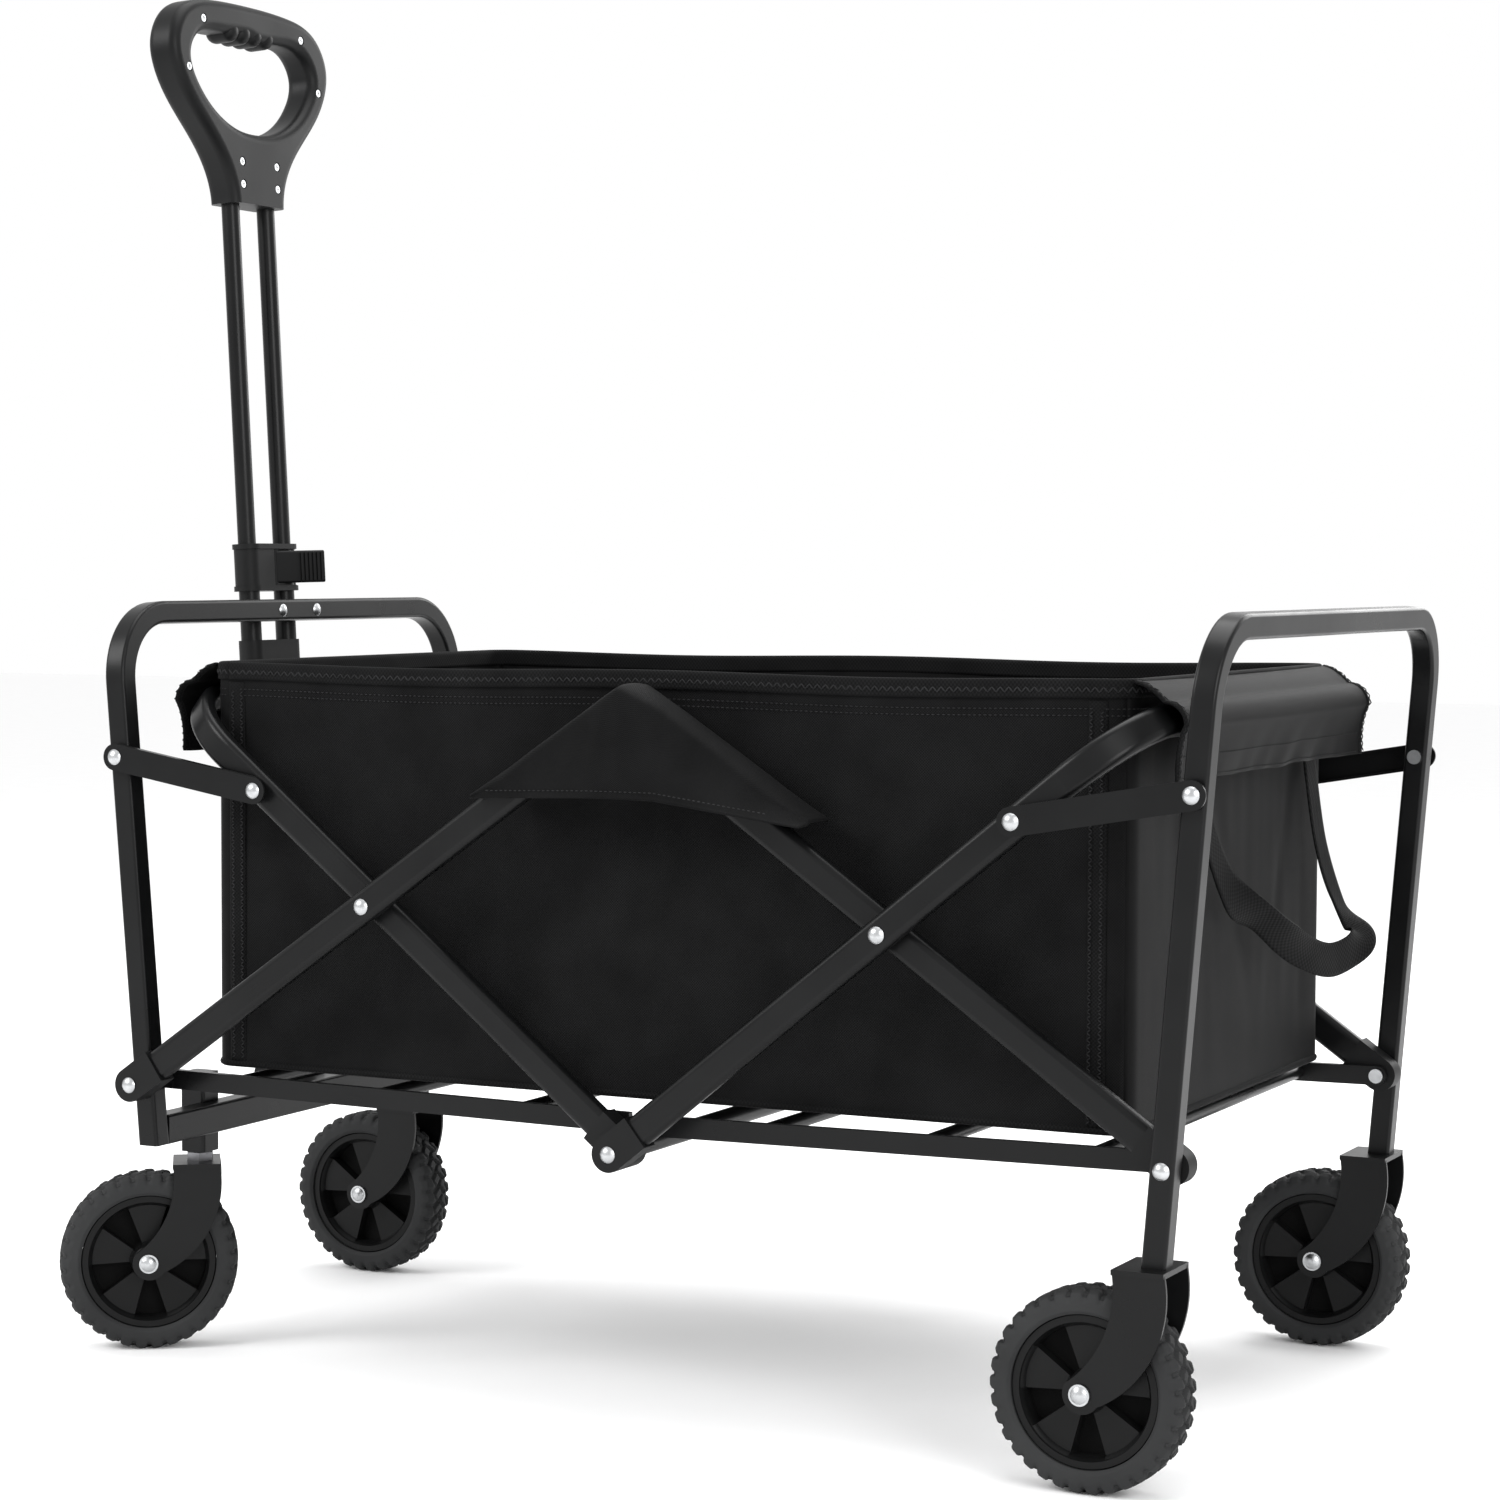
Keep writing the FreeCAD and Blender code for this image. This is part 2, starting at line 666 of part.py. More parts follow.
casterPlateTop = casterTopZ - wheelRadius - deckProud
nutHigh = 7.0
for side, name, swivel in ((-1, "left", leftSwivel), (1, "right", 0.0)):
    back = V(-trail * math.cos(math.radians(swivel)), -trail * math.sin(math.radians(swivel)), 0)
    hubAt = V(stemX, side * stemY, wheelRadius) + back
    save("caster_fork_" + name, *place([fork(trail, casterPlateTop, 17, 23)],
                                       hubAt.x, hubAt.y, hubAt.z, swivel))
    centre = V(stemX, side * stemY, casterTopZ)
    stem = rodZ(stemX, side * stemY, stemRadius, casterTopZ, stemTopZ)
    corners = []
    for n in range(7):
        turn = math.radians(60 * n)
        corners.append(centre + V(math.cos(turn), math.sin(turn), 0) * nutRadius)
    nut = Part.Face(Part.makePolygon(corners)).extrude(V(0, 0, nutHigh))
    save("caster_stem_" + name, stem.fuse(nut).removeSplitter())
    save("caster_axle_" + name, *place([axle()] + spacers(), hubAt.x, hubAt.y, hubAt.z, swivel))
    tyre, hub = wheel(hubAt.x, hubAt.y, hubAt.z, swivel)
    save("front_tyre_" + name, tyre)
    save("front_hub_" + name, hub)

# ---------- handle, built upright on its own foot pivot and then leaned forwards ----------

def leaned(shape):
    copy = shape.copy()
    copy.rotate(V(0, 0, 0), V(0, 1, 0), -handleLean)
    copy.translate(V(handleFootX, 0, handleFootZ))
    return copy


def pair(radius, bore, z0, z1):
    found = []
    for side in (-1, 1):
        rod = rodZ(0, side * tubeSpread, radius, z0, z1)
        found.append(rod.cut(rodZ(0, side * tubeSpread, bore, z0, z1)))
    return found


def twinBlock(radius, z0, z1, holeRadius):
    """Block with round ends around both tubes."""
    long = 2 * (tubeSpread + radius)
    wire = roundedWire(V(0, 0, z0), V(1, 0, 0), V(0, 1, 0), 2 * radius, long, radius - 0.01)
    shape = Part.Face(wire).extrude(V(0, 0, z1 - z0))
    for side in (-1, 1):
        shape = shape.cut(rodZ(0, side * tubeSpread, holeRadius, z0, z1))
    return shape


def longEdges(shape):
    """Edges that run across the wagon, for rounding."""
    return [edge for edge in shape.Edges if abs(edge.BoundBox.YLength) > 50]


footHalf = 11.0
footRound = 8.0
footTop = 24.0
footWide = handleEarY - 0.4
foot = box(-footHalf, footHalf, -footWide, footWide, -footHalf, footTop)
foot = foot.makeFillet(footRound, longEdges(foot))
foot = foot.cut(rodY(0, 0, pinRadius + running, -footWide, footWide))
tubeLow = 14.0
for side in (-1, 1):
    foot = foot.cut(rodZ(0, side * tubeSpread, outerTubeRadius, tubeLow, footTop))
save("handle_foot", leaned(foot))
boltHead = 3.5
earOut = handleEarY + earSheet
bolt = rodY(0, 0, pinRadius, -earOut, earOut)
for side in (-1, 1):
    bolt = bolt.fuse(rodY(0, 0, headRadius, side * earOut, side * (earOut + boltHead)))
save("handle_pivot_bolt", leaned(bolt.removeSplitter()))
bore = innerTubeRadius + running
tubeInLock = 12.0
outerTubes = pair(outerTubeRadius, bore, tubeLow, lockLow + tubeInLock)
save("handle_outer_tubes", *[leaned(s) for s in outerTubes])
save("handle_collar", leaned(twinBlock(11.5, collarLow, collarLow + collarHigh, outerTubeRadius)))

lockRadius = 12.0
lockLip = 1.2
lipHigh = 4.5
lockTop = lockLow + lockHigh
lock = twinBlock(lockRadius, lockLow, lockTop, bore)
lock = lock.fuse(twinBlock(lockRadius + lockLip, lockLow, lockLow + lipHigh, bore))
lock = lock.fuse(twinBlock(lockRadius + lockLip, lockTop - lipHigh, lockTop, bore)).removeSplitter()
for side in (-1, 1):
    lock = lock.cut(rodZ(0, side * tubeSpread, outerTubeRadius, lockLow, lockLow + tubeInLock))
slotX = 6.6
slotFrom = -3.0
slotTo = 50.0
slotEnd = 5.0           # wall left above and below the lever's slot
lock = lock.cut(box(slotX, 2 * lockRadius, slotFrom, slotTo, lockLow + slotEnd, lockTop - slotEnd))
save("handle_lock", leaned(lock))
leverAngle = 22.0
leverPinX = 9.6
leverPinY = 1.0
leverBack = 2.2
leverFront = 3.0
leverLong = 52.0
leverEnd = 6.5          # from the lock's ends to the lever's
leverPin = 2.8
ribs = 6
ribPitch = 4.4
ribWide = 2.4
ribProud = 1.1
ribLow = lockLow + leverEnd + 2.0
lever = box(-leverBack, leverFront, 0, leverLong, lockLow + leverEnd, lockTop - leverEnd)
lever = lever.makeFillet(2.0, longEdges(lever))
for n in range(ribs):
    y = leverLong - ribPitch * (n + 1)
    lever = lever.fuse(box(0, leverFront + ribProud, y, y + ribWide, ribLow, lockTop - (ribLow - lockLow)))
lever = lever.fuse(rodZ(0, 0, leverPin, lockLow + slotEnd + 0.3, lockTop - slotEnd - 0.3))
lever.rotate(V(0, 0, 0), V(0, 0, 1), -leverAngle)
lever.translate(V(leverPinX, leverPinY, 0))
save("lock_lever", leaned(lever.removeSplitter()))
innerTubes = pair(innerTubeRadius, innerTubeRadius - wall, innerTubeLow, neckLow + neckSocket)
save("handle_inner_tubes", *[leaned(s) for s in innerTubes])

# grip: a ring with a wide top bar and a neck, in two shells that meet on the middle plane
gripThick = 31.0
gripRound = 8.5
neckHalf = 40.0
gripTop = 178.0
openingTop = 149.0
openingLow = 64.0
outerHalf = [(neckHalf, 0), (45, 22), (59, 44), (89, 74), (114, 105), (121, 133), (104, 163), (60, 176)]
innerHalf = [(45, 149), (80, 143), (93, 125), (82, 99), (53, 76), (24, 66)]
fingerBumps = (-27.0, -9.0, 9.0, 27.0)
bumpRadius = 9.5
bumpZ = 152.5
gripScrewAt = [(76, 157), (101, 112), (27, 37), (27, 17)]
screwRadius = 3.4
screwHigh = 1.5
recessRadius = 4.3
recessDeep = 2.0
crossLong = 3.6
crossWide = 0.9


def mirrored(points):
    return [(-y, z) for y, z in reversed(points)]


def smoothCurve(points, closed):
    curve = Part.BSplineCurve()
    curve.interpolate(Points=[V(0, y, z) for y, z in points], PeriodicFlag=closed)
    return curve.toShape()


ringOuter = Part.Wire([
    smoothCurve(outerHalf + [(0, gripTop)] + mirrored(outerHalf), False),
    Part.makeLine(V(0, -neckHalf, 0), V(0, neckHalf, 0)),
])
innerPoints = [(0, openingTop)] + innerHalf + [(0, openingLow)] + mirrored(innerHalf)
ringInner = Part.Wire([smoothCurve(innerPoints, True)])


def gripShell(end):
    """Half of the grip, rounded on its outside face."""
    shape = Part.Face(ringOuter).extrude(V(end * gripThick / 2, 0, 0))
    shape = shape.cut(Part.Face(ringInner).extrude(V(end * gripThick, 0, 0)))
    rims = []
    for edge in shape.Edges:
        if abs(edge.BoundBox.Center.x - end * gripThick / 2) < 0.3 and edge.Length > 100:
            rims.append(edge)
    shape = shape.makeFillet(gripRound, rims)
    for y in fingerBumps:
        long = gripThick / 2 - bumpRadius
        shape = shape.fuse(Part.makeCylinder(bumpRadius, long, V(0, y, bumpZ), V(end, 0, 0)))
        ball = Part.makeSphere(bumpRadius, V(end * long, y, bumpZ))
        half = box(min(0, end * pastX), max(0, end * pastX), -pastY, pastY, 0, pastY)
        shape = shape.fuse(ball.common(half))
    for side in (-1, 1):
        for y, z in gripScrewAt:
            if end > 0:
                floor = V(gripThick / 2 - recessDeep, side * y, z)
                shape = shape.cut(Part.makeCylinder(recessRadius, gripThick, floor, V(1, 0, 0)))
    shape = shape.removeSplitter()
    shape.translate(V(0, 0, neckLow))
    for side in (-1, 1):
        shape = shape.cut(rodZ(0, side * tubeSpread, innerTubeRadius, neckLow - 5, neckLow + neckSocket))
    return shape


save("grip_front_shell", leaned(gripShell(-1)))
save("grip_back_shell", leaned(gripShell(1)))
screws = []
screwLow = gripThick / 2 - recessDeep + 0.02
for y, z in gripScrewAt:
    for side in (-1, 1):
        centre = V(screwLow, side * y, neckLow + z)
        head = Part.makeCylinder(screwRadius, screwHigh, centre, V(1, 0, 0))
        for long, wide in ((crossLong, crossWide), (crossWide, crossLong)):
            cross = Part.makeBox(screwHigh, long, wide, centre + V(screwHigh / 2, -long / 2, -wide / 2))
            head = head.cut(cross)
        screws.append(leaned(head))
save("grip_screws", *screws)

# ---------- fabric ----------

def roundedBox(halfX, halfY, z0, z1, r):
    wire = roundedWire(V(0, 0, z0), V(1, 0, 0), V(0, 1, 0), 2 * halfX, 2 * halfY, r)
    return Part.Face(wire).extrude(V(0, 0, z1 - z0))


basket = roundedBox(basketX, basketY, basketLowZ, basketTopZ, basketCorner)
innerX = basketX - cloth
innerWide = basketY - cloth
inside = roundedBox(innerX, innerWide, basketLowZ + cloth, basketTopZ + cloth, basketCorner - cloth)
save("basket", basket.cut(inside))


sleeveHalf = 232.0
sleeveRoom = 16.5       # radius of the channel round the bar
sleeveProud = 17.5
hemZ = 514.0
mouthFrom = 150.0
mouthHigh = 14.0


def sleeve(end):
    """Fabric channel hung over a loop's top bar, closed below by its hem."""
    outside = [
        (basketX + 1.0, basketTopZ - cloth), (loopTopX - 2.0, basketTopZ),
        (loopTopX + sleeveProud, loopTopZ + 2.0), (loopTopX + sleeveProud - 4.5, loopTopZ - 22.0),
        (loopTopX + 4.0, hemZ), (basketX + 1.0, hemZ),
    ]
    half = sleeveHalf
    room = sleeveRoom
    wire = Part.makePolygon([V(end * x, -half, z) for x, z in outside + outside[:1]])
    shape = Part.Face(wire).extrude(V(0, 2 * half, 0))
    shape = shape.cut(rodY(end * loopTopX, loopTopZ, room, -half, half))
    for side in (-1, 1):
        # the mouth is open below the bar, where the loop bends away down its side
        mouth = box(basketX, loopTopX + room, mouthFrom, half + 1, hemZ - 1, loopTopZ + mouthHigh)
        if end < 0:
            mouth = mouth.mirror(V(0, 0, 0), V(1, 0, 0))
        if side < 0:
            mouth = mouth.mirror(V(0, 0, 0), V(0, 1, 0))
        shape = shape.cut(mouth)
    return shape


save("rear_sleeve", sleeve(1))
save("front_sleeve", sleeve(-1))

flapOut = 295.5
roofFrom = -18.0        # the roof over the pivot joins the rim to the hanging part
roofTo = 42.0
flapPoints = [
    (12, 586), (-40, 558), (-118, 490), (-100, 486), (30, 492),
    (110, 482), (166, 474), (150, 486), (45, 566),
]
flaps = []
for side in (-1, 1):
    wire = Part.makePolygon([V(x, side * flapOut, z) for x, z in flapPoints + flapPoints[:1]])
    flap = Part.Face(wire).extrude(V(0, side * cloth, 0))
    roof = box(roofFrom, roofTo, basketY + 0.5, flapOut, basketTopZ - 2 * cloth, basketTopZ - cloth)
    if side < 0:
        roof = roof.mirror(V(0, 0, 0), V(0, 1, 0))
    flaps.append(flap.fuse(roof))
save("top_flaps", *flaps)

# pull strap: two tails and a low run between them, standing just off the rear wall
strapWide = 24.0
strapLeft = -110.0
strapRight = 60.0
strapLow = 380.0
strapTop = 512.0
strapIn = basketX + 2.0
strapOut = basketX + 4.0
strap = box(strapIn, strapOut, strapLeft, strapLeft + strapWide, strapLow, strapTop)
strap = strap.fuse(box(strapIn, strapOut, strapRight, strapRight + strapWide, strapLow, strapTop))
strap = strap.fuse(box(strapIn, strapOut, strapLeft, strapRight + strapWide, strapLow - strapWide, strapLow))
save("rear_strap", strap.removeSplitter())
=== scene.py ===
import json
import math

import bmesh
import bpy
from mathutils import Matrix, Quaternion, Vector, noise


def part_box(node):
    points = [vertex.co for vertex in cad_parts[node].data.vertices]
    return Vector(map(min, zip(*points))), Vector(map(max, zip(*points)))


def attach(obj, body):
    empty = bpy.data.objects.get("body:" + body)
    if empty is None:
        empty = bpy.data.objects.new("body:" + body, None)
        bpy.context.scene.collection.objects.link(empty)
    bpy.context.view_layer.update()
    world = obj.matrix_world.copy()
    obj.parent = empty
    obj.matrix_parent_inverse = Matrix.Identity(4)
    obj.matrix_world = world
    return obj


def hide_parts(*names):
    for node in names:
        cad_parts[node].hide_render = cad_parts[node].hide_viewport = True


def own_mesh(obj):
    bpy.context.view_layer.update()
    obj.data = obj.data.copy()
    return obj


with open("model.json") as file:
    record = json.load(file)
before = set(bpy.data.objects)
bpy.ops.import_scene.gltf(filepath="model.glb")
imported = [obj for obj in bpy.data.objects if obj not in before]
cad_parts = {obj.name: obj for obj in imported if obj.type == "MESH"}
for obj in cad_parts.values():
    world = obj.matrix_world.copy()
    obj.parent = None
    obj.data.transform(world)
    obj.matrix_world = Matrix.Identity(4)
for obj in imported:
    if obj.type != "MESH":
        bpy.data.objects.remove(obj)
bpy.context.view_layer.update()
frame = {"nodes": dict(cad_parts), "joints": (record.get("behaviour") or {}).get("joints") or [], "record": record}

nodes = frame["nodes"]

# the basket's own box sets where everything soft goes
basketLow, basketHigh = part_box("basket")
midX = (basketLow.x + basketHigh.x) / 2
halfLong = (basketHigh.x - basketLow.x) / 2
halfWide = (basketHigh.y - basketLow.y) / 2
floorZ = basketLow.z
rimZ = basketHigh.z
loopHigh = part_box("rear_loop_tube")[1]
loopBar = {"inwards": 0.007, "below": 0.0125}   # from the loop's own box to the middle of its top bar
loopBarX = loopHigh.x - midX - loopBar["inwards"]
loopBarZ = loopHigh.z - loopBar["below"]

grainStrength = 0.35
meshSlack = 0.00002     # points nearer than this are joined


def newMaterial(name, colour, roughness, metallic=0.0, sheen=0.0, gloss=0.3):
    mat = bpy.data.materials.new(name)
    mat.use_nodes = True
    shader = mat.node_tree.nodes["Principled BSDF"]
    shader.inputs["Base Color"].default_value = (*colour, 1)
    shader.inputs["Roughness"].default_value = roughness
    shader.inputs["Metallic"].default_value = metallic
    shader.inputs["Sheen Weight"].default_value = sheen
    shader.inputs["Specular IOR Level"].default_value = gloss
    return mat, mat.node_tree, shader


def addNode(tree, kind, **values):
    node = tree.nodes.new(kind)
    for key, value in values.items():
        if hasattr(node, key):
            setattr(node, key, value)
        else:
            node.inputs[key.replace("_", " ")].default_value = value
    return node


def objectNoise(tree, scale, detail=3.0, rough=0.5):
    coords = addNode(tree, "ShaderNodeTexCoord")
    grain = addNode(tree, "ShaderNodeTexNoise", Scale=scale, Detail=detail, Roughness=rough)
    tree.links.new(coords.outputs["Object"], grain.inputs["Vector"])
    return grain


def ramp(tree, source, low, high, lowColour, highColour):
    node = addNode(tree, "ShaderNodeValToRGB")
    node.color_ramp.elements[0].position = low
    node.color_ramp.elements[1].position = high
    node.color_ramp.elements[0].color = (*lowColour, 1)
    node.color_ramp.elements[1].color = (*highColour, 1)
    tree.links.new(source, node.inputs["Fac"])
    return node.outputs["Color"]


def addBump(tree, shader, height, strength, distance, below=None):
    bump = addNode(tree, "ShaderNodeBump", Strength=strength, Distance=distance)
    tree.links.new(height, bump.inputs["Height"])
    if below is not None:
        tree.links.new(below.outputs["Normal"], bump.inputs["Normal"])
    tree.links.new(bump.outputs["Normal"], shader.inputs["Normal"])
    return bump


def grained(name, colour, worn, roughness, spread, grainScale, grainDepth,
            metallic=0.0, cloudScale=14.0, gloss=0.3):
    # moulded, coated or plated finish: cloudy colour, uneven gloss and a fine surface grain
    mat, tree, shader = newMaterial(name, colour, roughness, metallic, gloss=gloss)
    cloud = objectNoise(tree, cloudScale)
    tree.links.new(ramp(tree, cloud.outputs["Fac"], 0.35, 0.7, colour, worn), shader.inputs["Base Color"])
    low = (roughness - spread,) * 3
    high = (roughness + spread,) * 3
    tree.links.new(ramp(tree, cloud.outputs["Fac"], 0.3, 0.75, low, high), shader.inputs["Roughness"])
    grain = objectNoise(tree, grainScale, 2.0)
    addBump(tree, shader, grain.outputs["Fac"], grainStrength, grainDepth)
    return mat


hubFinish = {
    "face": 0.42, "pocket": 0.85, "gloss": 0.15, "from": 0.2, "to": 0.8, "grain": 1200.0, "depth": 0.00008,
}


def hubMaterial(name, colour, paintedPocketShade):
    # the pockets between a hub's panels are painted darker, as painted shade in the recesses, and are duller than
    # its raised faces
    mat, tree, shader = newMaterial(name, colour, hubFinish["face"], gloss=hubFinish["gloss"])
    pocket = addNode(tree, "ShaderNodeAttribute", attribute_name="pocket").outputs["Fac"]
    shade = ramp(tree, pocket, hubFinish["from"], hubFinish["to"], colour, paintedPocketShade)
    tree.links.new(shade, shader.inputs["Base Color"])
    face, deep = (hubFinish["face"],) * 3, (hubFinish["pocket"],) * 3
    dull = ramp(tree, pocket, hubFinish["from"], hubFinish["to"], face, deep)
    tree.links.new(dull, shader.inputs["Roughness"])
    grain = objectNoise(tree, hubFinish["grain"], 2.0)
    addBump(tree, shader, grain.outputs["Fac"], grainStrength, hubFinish["depth"])
    return mat


weave = {
    "gloss": 0.08, "sheenRoughness": 0.45, "cloud": 22.0, "cloudDetail": 4.0, "dark": 0.05, "light": 0.6,
    "bump": 0.6,
}


def woven(name, colour, lit, roughness, pitch, depth, sheen):
    # plain weave on the piece's own UV map, which is in metres; the thread crests are painted lighter as a painted
    # highlight and the gaps darker as painted shade, mixed with a cloudy tone that varies at random
    mat, tree, shader = newMaterial(name, colour, roughness, 0.0, sheen, weave["gloss"])
    shader.inputs["Sheen Roughness"].default_value = weave["sheenRoughness"]
    coords = addNode(tree, "ShaderNodeTexCoord")
    split = addNode(tree, "ShaderNodeSeparateXYZ")
    tree.links.new(coords.outputs["UV"], split.inputs["Vector"])
    waves = []
    for axis in ("X", "Y"):
        turns = addNode(tree, "ShaderNodeMath", operation="MULTIPLY")
        turns.inputs[1].default_value = math.pi / pitch
        tree.links.new(split.outputs[axis], turns.inputs[0])
        wave = addNode(tree, "ShaderNodeMath", operation="SINE")
        tree.links.new(turns.outputs[0], wave.inputs[0])
        waves.append(wave)
    check = addNode(tree, "ShaderNodeMath", operation="MULTIPLY")
    tree.links.new(waves[0].outputs[0], check.inputs[0])
    tree.links.new(waves[1].outputs[0], check.inputs[1])
    lift = addNode(tree, "ShaderNodeMath", operation="MULTIPLY_ADD")
    lift.inputs[1].default_value = 0.5
    lift.inputs[2].default_value = 0.5
    tree.links.new(check.outputs[0], lift.inputs[0])
    cloud = objectNoise(tree, weave["cloud"], weave["cloudDetail"])
    mixed = addNode(tree, "ShaderNodeMath", operation="MULTIPLY")
    tree.links.new(lift.outputs[0], mixed.inputs[0])
    tree.links.new(cloud.outputs["Fac"], mixed.inputs[1])
    # painted highlight on the thread crests and painted shade in the gaps, scaled by the random cloud
    shade = ramp(tree, mixed.outputs[0], weave["dark"], weave["light"], colour, lit)
    tree.links.new(shade, shader.inputs["Base Color"])
    addBump(tree, shader, lift.outputs[0], weave["bump"], depth)
    return mat


def zincMaterial(name, colour, roughness):
    worn = tuple(0.86 * c for c in colour)
    return grained(name, colour, worn, roughness, 0.06, 700.0, 0.00008, 1.0, 160.0, 0.5)


finishes = {
    "black_steel": grained("powderCoat", (0.0034, 0.0035, 0.0037), (0.0052, 0.0054, 0.0056),
                           0.31, 0.05, 1400.0, 0.00006, gloss=0.17),
    "zinc": zincMaterial("brightZinc", (0.50, 0.51, 0.52), 0.34),
    "dark_zinc": zincMaterial("darkZinc", (0.2, 0.2, 0.21), 0.36),
    "black_plastic": grained("mouldedCap", (0.0042, 0.0043, 0.0045), (0.0064, 0.0066, 0.0068),
                             0.5, 0.06, 1900.0, 0.00009, gloss=0.16),
    "grip_plastic": grained("mouldedGrip", (0.0042, 0.0044, 0.0046), (0.0064, 0.0066, 0.0069),
                            0.44, 0.05, 1600.0, 0.0001, gloss=0.15),
    # the second colour is painted shade for the hub's pockets
    "wheel_plastic": hubMaterial("mouldedHub", (0.0042, 0.0043, 0.0044), (0.0008, 0.0008, 0.0008)),
    "tyre": grained("tyreRubber", (0.015, 0.0154, 0.016), (0.026, 0.0267, 0.0272),
                    0.74, 0.08, 900.0, 0.00022, gloss=0.22),
    "side_fabric": woven("oxfordWeave", (0.0008, 0.0008, 0.0009), (0.0080, 0.0081, 0.0084),
                         0.72, 0.0011, 0.0004, 0.012),
    "end_fabric": woven("smoothWeave", (0.0020, 0.0020, 0.0021), (0.0052, 0.0052, 0.0054),
                        0.62, 0.0007, 0.00015, 0.006),
    "webbing": woven("ribbedWebbing", (0.0012, 0.0012, 0.0013), (0.0088, 0.0089, 0.0092),
                     0.7, 0.0022, 0.0005, 0.01),
}
threadFinish = grained("blackThread", (0.008, 0.008, 0.0085), (0.018, 0.018, 0.019),
                       0.66, 0.08, 2600.0, 0.00008, gloss=0.2)
bindingFinish = woven("boundTape", (0.0012, 0.0012, 0.0013), (0.0088, 0.0089, 0.0092),
                      0.74, 0.0016, 0.0004, 0.01)

slotOf = {part["node"]: part["material_slot"] for part in frame["record"]["subparts"]}
for name, obj in nodes.items():
    obj.data.materials.clear()
    obj.data.materials.append(finishes[slotOf[name]])
print("materials on", len(nodes), "frame parts")


def finishPiece(name, bm, material, body, slot):
    mesh = bpy.data.meshes.new(name)
    bm.to_mesh(mesh)
    bm.free()
    for face in mesh.polygons:
        face.use_smooth = True
    piece = bpy.data.objects.new(name, mesh)
    bpy.context.scene.collection.objects.link(piece)
    mesh.materials.append(material)
    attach(piece, body)
    return piece


def thicken(piece, thickness):
    wall = piece.modifiers.new("thickness", "SOLIDIFY")
    wall.thickness = thickness
    wall.offset = 0.0
    return piece


def clothGrid(along, up, flat, shape):
    bm = bmesh.new()
    bmesh.ops.create_grid(bm, x_segments=along, y_segments=up, size=0.5)
    uvs = bm.loops.layers.uv.new("cloth")
    for face in bm.faces:
        for loop in face.loops:
            loop[uvs].uv = ((loop.vert.co.x + 0.5) * flat[0], (loop.vert.co.y + 0.5) * flat[1])
    for vert in bm.verts:
        vert.co = shape(vert.co.x + 0.5, vert.co.y + 0.5)
    return bm


def mix(a, b, t):
    return a + (b - a) * t


def hill(x, middle, width):
    return math.exp(-((x - middle) / width) ** 2)


def waver(x, y, z, scale):
    return noise.noise(Vector((x * scale, y * scale, z * scale)))


def addStitch(bm, centre, direction, length, radius, outward):
    along = direction.normalized()
    over = outward.normalized()
    across = over.cross(along).normalized()
    turn = Matrix((
        (along.x * length / 2, across.x * radius, over.x * radius, centre.x),
        (along.y * length / 2, across.y * radius, over.y * radius, centre.y),
        (along.z * length / 2, across.z * radius, over.z * radius, centre.z),
        (0, 0, 0, 1),
    ))
    bmesh.ops.create_icosphere(bm, subdivisions=1, radius=1.0, matrix=turn)


def stitchRow(bm, at, outward, length, settings):
    pitch = settings["pitch"]
    count = int(length / pitch)
    for n in range(count):
        d = (n + 0.5) * pitch
        here = at(d)
        ahead = (at(d + pitch * 0.3) - at(d - pitch * 0.3)).normalized()
        over = outward(d)
        side = over.cross(ahead).normalized()
        lean = settings["lean"] if n % 2 else -settings["lean"]
        direction = ahead + side * lean
        addStitch(bm, here + over * settings["lift"], direction, settings["long"], settings["radius"], over)


def stitchPiece(name, rows, settings, body, slot):
    bm = bmesh.new()
    for at, outward, length in rows:
        stitchRow(bm, at, outward, length, settings)
    return finishPiece(name, bm, threadFinish, body, slot)


basket = {
    "cloth": 0.0016, "sag": 0.0024, "ripple": 0.0026, "crease": 0.0040, "endRipple": 0.0022,
    "footPull": 0.0022, "sidePull": 0.0016, "endFold": 0.0018, "endPull": 0.0014,
    "bindDeep": 0.014, "bindProud": 0.0013, "bindCloth": 0.0008, "bindRound": 0.28, "flutter": 0.0004,
    "corner": 0.020, "skin": 0.0014, "floorIn": 0.006, "seamDrop": 0.021, "seamGap": 0.005, "piping": 0.0032,
    "cornerTape": 0.015, "tapeCloth": 0.0009, "tapeFoot": 0.006, "tapeStitches": (0.003, 0.0115),
}
zigzag = {"pitch": 0.0034, "long": 0.0068, "radius": 0.00062, "lean": 1.1, "lift": 0.0003}
cornerZigzag = {"pitch": 0.0026, "long": 0.0042, "radius": 0.00055, "lean": 1.3, "lift": 0.0003}
straight = {"pitch": 0.0042, "long": 0.0031, "radius": 0.00050, "lean": 0.0, "lift": 0.0002}
cornerArc = math.pi * basket["corner"] / 2
sideRun = 2 * (halfLong - basket["corner"])
endRun = 2 * (halfWide - basket["corner"])
rimLength = 2 * (sideRun + endRun) + 4 * cornerArc


def rimPoint(d):
    # point and outward direction d metres round the outline, from the front end of the left side
    r = basket["corner"]
    x, y = halfLong - r, halfWide - r
    runs = [
        (sideRun, -x, -halfWide, 1, 0), (cornerArc, x, -y, 0, 0), (endRun, halfLong, -y, 0, 1),
        (cornerArc, x, y, 90, 0), (sideRun, x, halfWide, -1, 0), (cornerArc, -x, y, 180, 0),
        (endRun, -halfLong, y, 0, -1), (cornerArc, -x, -y, 270, 0),
    ]
    d = d % rimLength
    for n, (length, startX, startY, dx, dy) in enumerate(runs):
        if d <= length:
            break
        d -= length
    if n % 2 == 0:
        return Vector((startX + dx * d, startY + dy * d, 0)), Vector((dy, -dx, 0))
    turn = math.radians(dx - 90) + d / r
    out = Vector((math.cos(turn), math.sin(turn), 0))
    return Vector((startX, startY, 0)) + out * r, out


def rimHeight(x):
    share = abs(x) / halfLong       # the rim hangs a little between the middle and the ends
    return rimZ - basket["sag"] * math.sin(math.pi * share) ** 2


